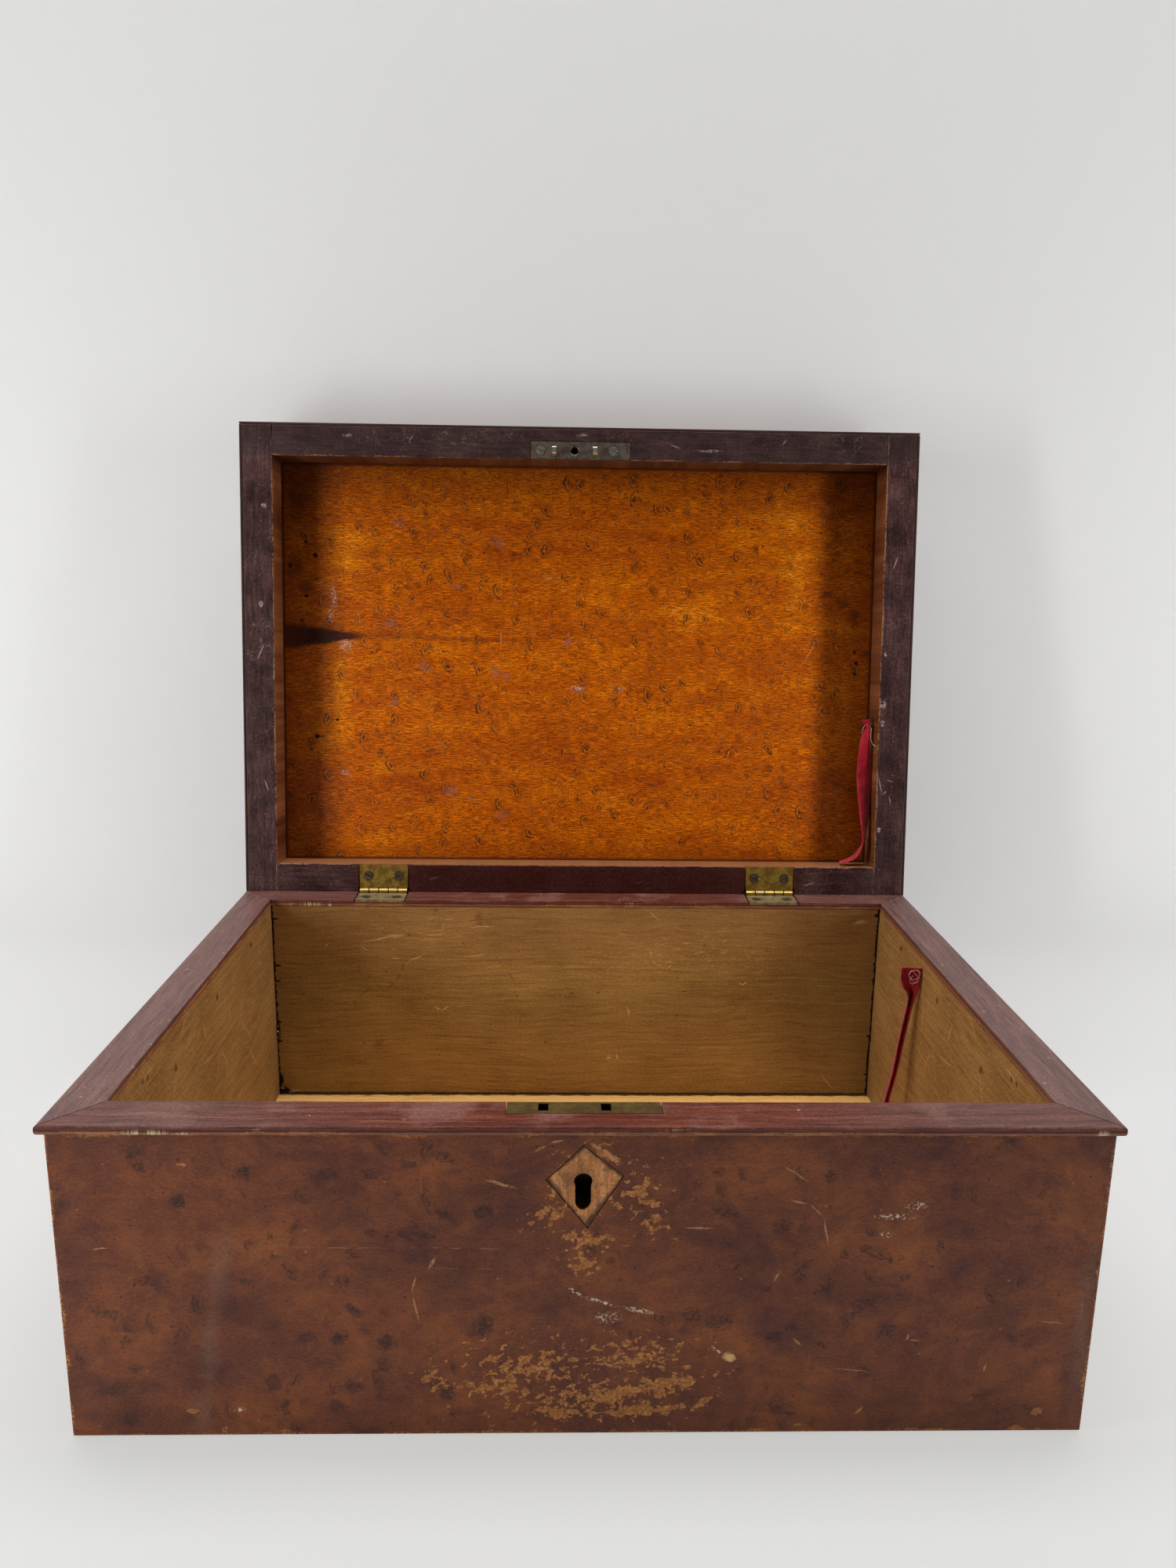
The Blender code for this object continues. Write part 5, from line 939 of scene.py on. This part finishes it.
def ribbon_cloth(name):
    """Crimson woven ribbon, faded in patches, with pale specks in the weave."""
    g = Graph(name)
    place = g.place()
    weave = g.noise(place, 2400, 2, 0.6)
    fade_and_painted_shade = g.noise(place, 160, 3, 0.6)
    g.colour = g.ramp(fade_and_painted_shade, [
        (0.3, (0.205, 0.0026, 0.01)), (0.5, (0.35, 0.006, 0.019)), (0.75, (0.48, 0.016, 0.033)),
    ])
    g.shade(g.spread(weave, 0.55, 1.4))
    speck = g.band(g.noise(g.vector("ADD", place, (1.0, 0, 0)), 2000, 1, 0.5), 0.7, 0.78)
    g.coat(speck, (0.7, 0.22, 0.22), 0.5)
    _, _, height = g.split(place)
    # Painted shade: the half that hangs inside the base is darker
    g.shade(g.band(height, 0.122, 0.114, 1.0, 0.72))
    return g.finished(0.82, weave, depth=0.00016, strength=0.8, Specular_IOR_Level=0.15, Sheen_Weight=0.15)


def thread_look(name):
    """Pale pinkish thread, its tone broken along its length."""
    g = Graph(name)
    tone = g.noise(g.place(), 900, 2)
    g.set(Base_Color=g.mix(tone, (0.66, 0.42, 0.34), (0.92, 0.8, 0.7)), Roughness=0.8)
    return g.material


def dress(material, *names):
    """Gives nodes a material in place of what they came with."""
    for name in names:
        data = nodes[name].data
        data.materials.clear()
        data.materials.append(material)


# The veneers that the photo hardly shows: look, axes of the face, shift of the noise, on the lid, nodes
VENEERS = (
    ("back_veneer_look", "XZ", (1.7, 0.3), False, ("back_veneer",)),
    ("side_veneer_look", "YZ", (2.9, 1.1), False, ("left_veneer", "right_veneer")),
    ("lid_top_look", "XZ", (4.3, 2.2), True, ("lid_top_veneer",)),
    ("lid_edge_look", "XY", (5.1, 0.7), True, ("lid_front_veneer", "lid_back_veneer")),
    ("lid_side_look", "YZ", (6.4, 1.9), True, ("lid_left_veneer", "lid_right_veneer")),
)


def dress_wood():
    """The wood of the base and the lid."""
    front_marks = FrontMarks("front_veneer", "XZ", False)
    dress(stained_maple("front_veneer_look", "XZ", (0, 0), False, front_marks), "front_veneer")
    for look, axes, shift, on_lid, names in VENEERS:
        dress(stained_maple(look, axes, shift, on_lid, EdgeMarks(names[0], axes, on_lid)), *names)
    dress(mahogany("rim_long_look", "XY", "X", (0.3, 0), dust_and_sheen_grey=0.5, gloss=0.14), "rim_front", "rim_back")
    dress(mahogany("rim_short_look", "XY", "Y", (0.7, 0), dust_and_sheen_grey=0.72, gloss=0.3), "rim_left", "rim_right")
    long_walls = raw_wood("wall_long_look", "XZ", "X", (0.2, 0), TAN, back_wall)
    dress(long_walls, "base_front_board", "base_back_board")
    short_walls = raw_wood("wall_short_look", "YZ", "Y", (0.9, 0), OCHRE, side_wall)
    dress(short_walls, "base_left_board", "base_right_board")
    dress(raw_wood("bottom_look", "XY", "X", (1.9, 0), PALE, floor_marks), "base_bottom_board")
    dress(dark_frame("stile_look", "Z", (0, 0)), "lid_left_stile", "lid_right_stile")
    dress(dark_frame("rail_look", "X", (0.5, 0)), "lid_front_rail", "lid_back_rail")
    dress(amber_panel("panel_look"), "lid_top_board")
    dress(escutcheon_wood("escutcheon_look"), "keyhole_escutcheon")


# Metals: the bare colour, the tarnish and the dirt, the scale of the film, and how rough it is
METALS = {
    "hinge_brass": ((0.58, 0.41, 0.08), (0.26, 0.15, 0.035), (0.05, 0.03, 0.012), 260, 0.35),
    "lock_brass": ((0.135, 0.105, 0.034), (0.085, 0.056, 0.022), (0.022, 0.015, 0.009), 200, 0.45),
    "dark_steel": ((0.16, 0.13, 0.09), (0.075, 0.055, 0.04), (0.02, 0.015, 0.01), 400, 0.45),
    "bright_steel": ((0.62, 0.58, 0.5), (0.36, 0.31, 0.24), (0.08, 0.06, 0.04), 400, 0.3),
    "tack": ((0.06, 0.035, 0.022), (0.03, 0.016, 0.01), (0.01, 0.006, 0.005), 600, 0.55),
    "base_leaf": ((0.42, 0.35, 0.2), (0.24, 0.18, 0.1), (0.08, 0.06, 0.04), 300, 0.45),
    "link_plate": ((0.21, 0.165, 0.13), (0.105, 0.075, 0.058), (0.035, 0.024, 0.018), 320, 0.45),
}


def metal_of(name):
    """The metal of a node, by its name, or None for wood and cloth."""
    if name.startswith("hinge_") and "screw" not in name:
        return "base_leaf" if "base" in name else "hinge_brass"
    if name in ("lock_case", "lock_cap"):
        return "lock_brass"
    if name == "link_plate":
        return "link_plate"
    if name.startswith("link_") or name == "bolt_spring":
        return "bright_steel"
    if name.startswith(("hinge_", "lock_")):
        return "dark_steel"
    return "tack" if name.endswith("tack") else None


def dress_metal():
    """The hinges, the lock, the link plate and the tacks."""
    looks = {metal: aged_metal(metal + "_look", *values) for metal, values in METALS.items()}
    for name in nodes:
        metal = metal_of(name)
        if metal:
            dress(looks[metal], name)


# The ribbon: its width and thickness, and how finely it is drawn across and between two rows
RIBBON_WIDTH = 0.01
RIBBON_THICK = 0.0005
RIBBON_ACROSS = 13
RIBBON_STEPS = 7
# Its section: how round the fold is, how high it puckers where it is gathered and how often across, the half
# chord from which it lies flat, and how far its edges wave and how fast from row to row
FOLD_POWER = 1.4
PUCKER = 0.00022
PUCKER_TURN = 9.4
FLAT_CHORD = 0.0045
WAVE = 0.0001
WAVE_TURN = 1.9
# The face of the lid's panel behind the hinge axis, and the base's tack and how far the ribbon hangs from it
PANEL_DEPTH = 0.01915
BASE_TACK = (INNER_X, 0.036, 0.1038)
BASE_HANG = 0.0808

# Upper half, in ribbon widths: from the stile, the lower rail and the panel, then the turn in degrees, half
# chord and fold
LID_RIBBON = (
    (0.35, 7.9, 0.98, 15, 0.3, 0.22), (0.32, 7.45, 0.98, 18, 0.11, 0.34), (0.36, 6.75, 1.0, 18, 0.26, 0.34),
    (0.39, 6.1, 1.04, 18, 0.37, 0.26), (0.42, 5.05, 1.08, 20, 0.47, 0.14), (0.39, 4.05, 1.12, 28, 0.49, 0.1),
    (0.35, 3.05, 1.14, 40, 0.48, 0.09), (0.34, 2.3, 1.14, 53, 0.46, 0.08), (0.36, 1.45, 1.14, 68, 0.42, 0.07),
    (0.58, 0.8, 1.13, 82, 0.4, 0.05), (1.0, 0.36, 1.12, 90, 0.38, 0.04), (1.62, 0.12, 1.1, 90, 0.3, 0.03),
)
# Loose threads, in millimetres: across, into the lid and up from the hinge axis
THREAD_RADIUS = 0.00008
THREAD_SIDES = 5
LID_THREADS = (
    ((155.0, 8.6, 90.4), (153.6, 7.4, 90.6), (152.2, 6.9, 89.2), (151.4, 6.6, 87.2), (151.0, 6.6, 86.0)),
    (
        (156.2, 8.2, 90.2), (156.6, 7.2, 88.0), (156.3, 6.6, 85.0), (156.4, 6.2, 82.6), (157.0, 5.4, 80.6),
        (157.8, 4.2, 79.8), (158.2, 2.4, 79.4),
    ),
)
# The lower threads lie on the flap, at shares of its width from its middle and at heights in millimetres
FLAP_MID = Vector((0.1535, 0.034))
FLAP_RUN = Vector((-0.00995, 0.001))
BASE_THREADS = (
    ((-0.42, 107.1), (-0.2, 108.7), (0.05, 107.7), (0.1, 105.5), (-0.1, 104.0), (-0.3, 105.0)),
    (
        (-0.4, 104.5), (-0.2, 106.5), (0.0, 108.3), (0.12, 106.5), (0.0, 104.1), (-0.2, 102.3),
        (-0.35, 103.5),
    ),
    ((-0.3, 108.7), (-0.36, 105.9), (-0.22, 103.1), (-0.05, 101.9), (0.06, 103.7), (-0.08, 106.1)),
)
# Lower half: from the wall and behind the tack in ribbon widths, share of the hang, direction of the width
# (inward, forward, up), half chord, fold
BASE_RIBBON = (
    (0.5, -0.16, -0.072, (1, -0.1, 0), 0.46, 0.06), (0.5, -0.16, -0.018, (1, -0.1, 0), 0.47, 0.06),
    (0.46, -0.15, 0.03, (1, -0.1, 0), 0.41, 0.12), (0.4, -0.1, 0.072, (1, -0.1, 0), 0.24, 0.26),
    (0.41, -0.02, 0.122, (1, -0.1, 0), 0.13, 0.36), (0.52, 0.1, 0.235, (1, 0, 0), 0.1, 0.4),
    (0.68, 0.18, 0.406, (1, 0, 0), 0.1, 0.4), (0.85, 0.2, 0.585, (1, 0, 0), 0.08, 0.4),
    (1.16, 0.2, 0.796, (1, 0, 0), 0.075, 0.38), (1.35, 0.15, 1.0, (1, 0, 0), 0.09, 0.36),
)


def lid_point(across, depth, height):
    """A place on the lid, given as if it stood upright, where it is at rest."""
    return Matrix.Rotation(-LEAN, 3, "X") @ Vector((across, depth, height)) + Vector((0, AXIS_Y, AXIS_Z))


def smooth_rows(rows):
    """More rows of numbers, on a smooth curve through the given ones."""
    found = []
    for i in range(len(rows) - 1):
        before, first, second, after = (rows[max(0, min(len(rows) - 1, i + k))] for k in (-1, 0, 1, 2))
        for step in range(RIBBON_STEPS):
            share = step / RIBBON_STEPS
            row = []
            for back, here, there, ahead in zip(before, first, second, after):
                slope = (there - back) / 2
                bend = back - 2.5 * here + 2 * there - ahead / 2
                swing = (ahead - back + 3 * (here - there)) / 2
                row.append(here + share * slope + share ** 2 * bend + share ** 3 * swing)
            found.append(row)
    return found + [list(rows[-1])]


def link_mesh(name, bm):
    """A smooth object of the scene, from its faces."""
    mesh = bpy.data.meshes.new(name)
    bm.to_mesh(mesh)
    bm.free()
    mesh.shade_smooth()
    made = bpy.data.objects.new(name, mesh)
    bpy.context.scene.collection.objects.link(made)
    return made


def make_object(name, bm, body, material):
    """A piece of the part, which rides on one of its bodies."""
    bmesh.ops.recalc_face_normals(bm, faces=bm.faces)
    made = link_mesh(name, bm)
    made.data.materials.append(material)
    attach(made, body)
    return made


def around(items, i):
    """The items before and after one, or itself at an end."""
    return items[max(i - 1, 0)], items[min(i + 1, len(items) - 1)]


def skin(bm, rings):
    """Closes rings of points into one skin, with a face at each end."""
    rings = [[bm.verts.new(point) for point in ring] for ring in rings]
    bm.faces.new(rings[0])
    bm.faces.new(reversed(rings[-1]))
    for first, second in zip(rings, rings[1:]):
        for k in range(len(first)):
            following = (k + 1) % len(first)
            bm.faces.new((first[k], second[k], second[following], first[following]))


def make_tube(bm, points, radius, sides):
    """A closed tube along points."""
    rings = []
    for i, point in enumerate(points):
        before, after = around(points, i)
        along = (after - before).normalized()
        side = along.orthogonal().normalized()
        other = along.cross(side)
        ring = []
        for k in range(sides):
            angle = 2 * math.pi * k / sides
            ring.append(point + radius * (math.cos(angle) * side + math.sin(angle) * other))
        rings.append(ring)
    skin(bm, rings)


def ribbon_section(row_index, chord, fold):
    """Points across a ribbon, along its width and its depth, arched by its fold and puckered if gathered."""
    pucker = PUCKER * max(0.0, 1 - chord / FLAT_CHORD)
    wave = WAVE * math.sin(WAVE_TURN * row_index)
    line = []
    for k in range(RIBBON_ACROSS):
        share = 2 * k / (RIBBON_ACROSS - 1) - 1
        arch = fold * (0.5 - abs(share) ** FOLD_POWER)
        rise = arch + pucker * math.cos(PUCKER_TURN * share) + wave * share ** 4
        line.append(Vector((share * chord, rise)))
    return line


def make_ribbon(name, rows, body, material):
    """A ribbon along rows of place, width direction, half chord and fold."""
    rows = [(Vector(row[:3]), Vector(row[3:6]), row[6], row[7]) for row in smooth_rows(rows)]
    rings = []
    for i, (place, width, chord, fold) in enumerate(rows):
        before, after = around(rows, i)
        along = (after[0] - before[0]).normalized()
        width = (width - along * width.dot(along)).normalized()
        depth = along.cross(width)
        line = ribbon_section(i, chord, fold)
        upper, lower = [], []
        for k, point in enumerate(line):
            start, end = around(line, k)
            run = end - start
            normal = Vector((-run.y, run.x)).normalized() * RIBBON_THICK / 2
            upper.append(place + width * (point.x + normal.x) + depth * (point.y + normal.y))
            lower.append(place + width * (point.x - normal.x) + depth * (point.y - normal.y))
        rings.append(upper + lower[::-1])
    bm = bmesh.new()
    skin(bm, rings)
    return make_object(name, bm, body, material)


def make_ribbons():
    """Both halves of the torn stay, each with its loose threads."""
    cloth = ribbon_cloth("ribbon_look")
    thread = thread_look("thread_look")
    rows = []
    for off_stile, off_rail, off_panel, turn, chord, fold in LID_RIBBON:
        place = lid_point(
            INNER_X - RIBBON_WIDTH * off_stile,
            PANEL_DEPTH - RIBBON_WIDTH * off_panel,
            RECESS_LOW + RIBBON_WIDTH * off_rail,
        )
        angle = math.radians(turn)
        width = Matrix.Rotation(-LEAN, 3, "X") @ Vector((math.cos(angle), math.sin(angle), 0))
        rows.append((*place, *width, RIBBON_WIDTH * chord, RIBBON_WIDTH * fold))
    upper = make_ribbon("lid_ribbon_cloth", rows, "lid", cloth)
    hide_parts("lid_ribbon")
    bm = bmesh.new()
    for line in LID_THREADS:
        points = [lid_point(x * MM, depth * MM, z * MM) for x, depth, z in smooth_rows(line)]
        make_tube(bm, points, THREAD_RADIUS, THREAD_SIDES)
    upper_threads = make_object("lid_ribbon_threads", bm, "lid", thread)
    rows = []
    for off_wall, behind, share, width, chord, fold in BASE_RIBBON:
        x, y, z = BASE_TACK
        place = (x - RIBBON_WIDTH * off_wall, y + RIBBON_WIDTH * behind, z - share * BASE_HANG)
        inward, forward, up = width
        rows.append((*place, -inward, -forward, up, RIBBON_WIDTH * chord, RIBBON_WIDTH * fold))
    lower = make_ribbon("base_ribbon_cloth", rows, "base", cloth)
    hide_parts("base_ribbon")
    bm = bmesh.new()
    for line in BASE_THREADS:
        points = [Vector((*(FLAP_MID + share * FLAP_RUN), z * MM)) for share, z in smooth_rows(line)]
        make_tube(bm, points, THREAD_RADIUS, THREAD_SIDES)
    lower_threads = make_object("base_ribbon_threads", bm, "base", thread)


# The backdrop: the bend at its foot, how far behind the middle it stands, how far it reaches, its paint, and
# the even tone that it shows
BEND = 0.066
BEND_STEPS = 16
WALL_Y = 0.192
REACH = 2.2
PAINT = (0.66, 0.66, 0.66)
EVEN_TONE = (1.0, 0.995, 0.965)

# Lamps: name, place, width and height, power, and the point that each is turned to
LEFT_STRIP = (-0.61, -0.28, 0.25)
RIGHT_STRIP = (0.65, -0.207, 0.25)
LID_FRONT = (0, 0.15, 0.22)
LAMPS = (
    ("left_strip", LEFT_STRIP, (0.08, 0.5), 3.4, LID_FRONT),
    ("right_strip", RIGHT_STRIP, (0.08, 0.5), 2.5, LID_FRONT),
    ("overhead", (0, 0.08, 1.2), (1.2, 0.3), 14.0, (0, 0.081, 0)),
    ("behind", (0, 1.0, 0.28), (0.9, 0.4), 2.5, (0, 0, 0.2)),
)
# How far round a strip's foot the floor shows its even tone only, in millimetres, so that no glare is seen
GLARE = 420
# The world's colour, its light, and its tone where the camera looks past the backdrop
WORLD_TINT = (0.98, 0.99, 1.0, 1.0)
WORLD_LIGHT = 0.03
WORLD_SEEN = 0.75


def make_stage():
    """A pale seamless floor that turns up into a backdrop."""
    bm = bmesh.new()
    line = [(-REACH, 0.0), (WALL_Y - BEND, 0.0)]
    for step in range(1, BEND_STEPS + 1):
        angle = math.radians(90 * step / BEND_STEPS)
        line.append((WALL_Y - BEND + BEND * math.sin(angle), BEND - BEND * math.cos(angle)))
    line.append((WALL_Y, REACH))
    rows = [[bm.verts.new((x, y, z)) for x in (-REACH, REACH)] for y, z in line]
    for low, high in zip(rows, rows[1:]):
        bm.faces.new((low[0], low[1], high[1], high[0]))
    backdrop = link_mesh("backdrop", bm)
    backdrop.data.materials.append(backdrop_look())


def backdrop_look():
    """Lit paint, with a share of even pale tone where the camera or a glossy surface looks at it. Shadow rays
    and looks from behind pass through."""
    g = Graph("backdrop_look")
    g.set(Base_Color=PAINT, Roughness=0.9)
    rays = g.node("LightPath", {}).outputs
    x, y, z = g.split(g.place())
    near = g.band(y, -0.04, -0.16)
    sides = g.band(g.absolute(x), 0.15, 0.5)
    tone = g.blend((g.band(z, 0.15, 0.6), 0.02), (near, 0.105), (sides, 0.02), (1.0, 0.625))
    even = g.node("Emission", {"Color": EVEN_TONE, "Strength": tone})
    share = g.add(g.band(z, 0.14, 0.01, 0.24, 0.6), g.mul(near, 0.16))
    feet = [(x / MM, y / MM, GLARE, GLARE) for x, y, _ in (LEFT_STRIP, RIGHT_STRIP)]
    lamp_feet = g.ovals(g.flat(g.place(), "XY"), feet, 0.5)
    looked_at = g.largest(rays["Is Camera Ray"], rays["Is Glossy Ray"])
    share = g.mul(looked_at, g.largest(share, lamp_feet))
    seen = g.node("MixShader", {0: share, 1: g.shader.outputs[0], 2: even.outputs[0]})
    behind = g.node("NewGeometry", {}).outputs["Backfacing"]
    through = g.largest(behind, rays["Is Shadow Ray"])
    clear = g.node("BsdfTransparent", {})
    pick = g.node("MixShader", {0: through, 1: seen.outputs[0], 2: clear.outputs[0]})
    g.put(g.tree.nodes["Material Output"].inputs["Surface"], pick.outputs[0])
    return g.material


def make_strip(name, place, size, power, aim):
    """A strip light, turned towards a point and unseen by the camera."""
    data = bpy.data.lights.new(name, "AREA")
    data.shape = "RECTANGLE"
    data.size, data.size_y = size
    data.energy = power
    lamp = bpy.data.objects.new(name, data)
    lamp.location = place
    lamp.rotation_euler = (Vector(aim) - Vector(place)).to_track_quat("-Z", "Y").to_euler()
    lamp.visible_camera = False
    bpy.context.scene.collection.objects.link(lamp)


def make_world():
    """A faint even light, with a paler tone where the camera looks past the backdrop."""
    world = bpy.data.worlds.new("room")
    world.use_nodes = True
    tree = world.node_tree
    background = tree.nodes["Background"]
    background.inputs["Color"].default_value = WORLD_TINT
    straight = tree.nodes.new("ShaderNodeLightPath").outputs["Is Camera Ray"]
    level = tree.nodes.new("ShaderNodeMapRange")
    level.inputs["To Min"].default_value = WORLD_LIGHT
    level.inputs["To Max"].default_value = WORLD_SEEN
    tree.links.new(straight, level.inputs["Value"])
    tree.links.new(level.outputs[0], background.inputs["Strength"])
    bpy.context.scene.world = world


# The photo's camera, solved from the corners of the rim, the lid and the base: place, angles and lens
CAMERA_PLACE = (-0.00961, -0.44411, 0.29931)
PITCH = -0.21438
YAW = 0.02569
ROLL = 0.01463
LENS = 25.45
SENSOR = 36.0
CLIP_START = 0.01


def make_camera():
    """The photo's view."""
    ahead = Vector((math.sin(YAW) * math.cos(PITCH), math.cos(YAW) * math.cos(PITCH), math.sin(PITCH)))
    level = Vector((math.cos(YAW), -math.sin(YAW), 0.0))
    rise = level.cross(ahead)
    right = math.cos(ROLL) * level + math.sin(ROLL) * rise
    up = -math.sin(ROLL) * level + math.cos(ROLL) * rise
    turn = Matrix((right, up, -ahead)).transposed().to_4x4()
    data = bpy.data.cameras.new("camera")
    data.lens = LENS
    data.sensor_width = SENSOR
    data.clip_start = CLIP_START
    camera = bpy.data.objects.new("camera", data)
    camera.matrix_world = Matrix.Translation(CAMERA_PLACE) @ turn
    bpy.context.scene.collection.objects.link(camera)
    bpy.context.scene.camera = camera


dress_wood()
dress_metal()
make_ribbons()
make_stage()
make_world()
for lamp in LAMPS:
    make_strip(*lamp)
make_camera()
bpy.context.scene.view_settings.view_transform = "Standard"
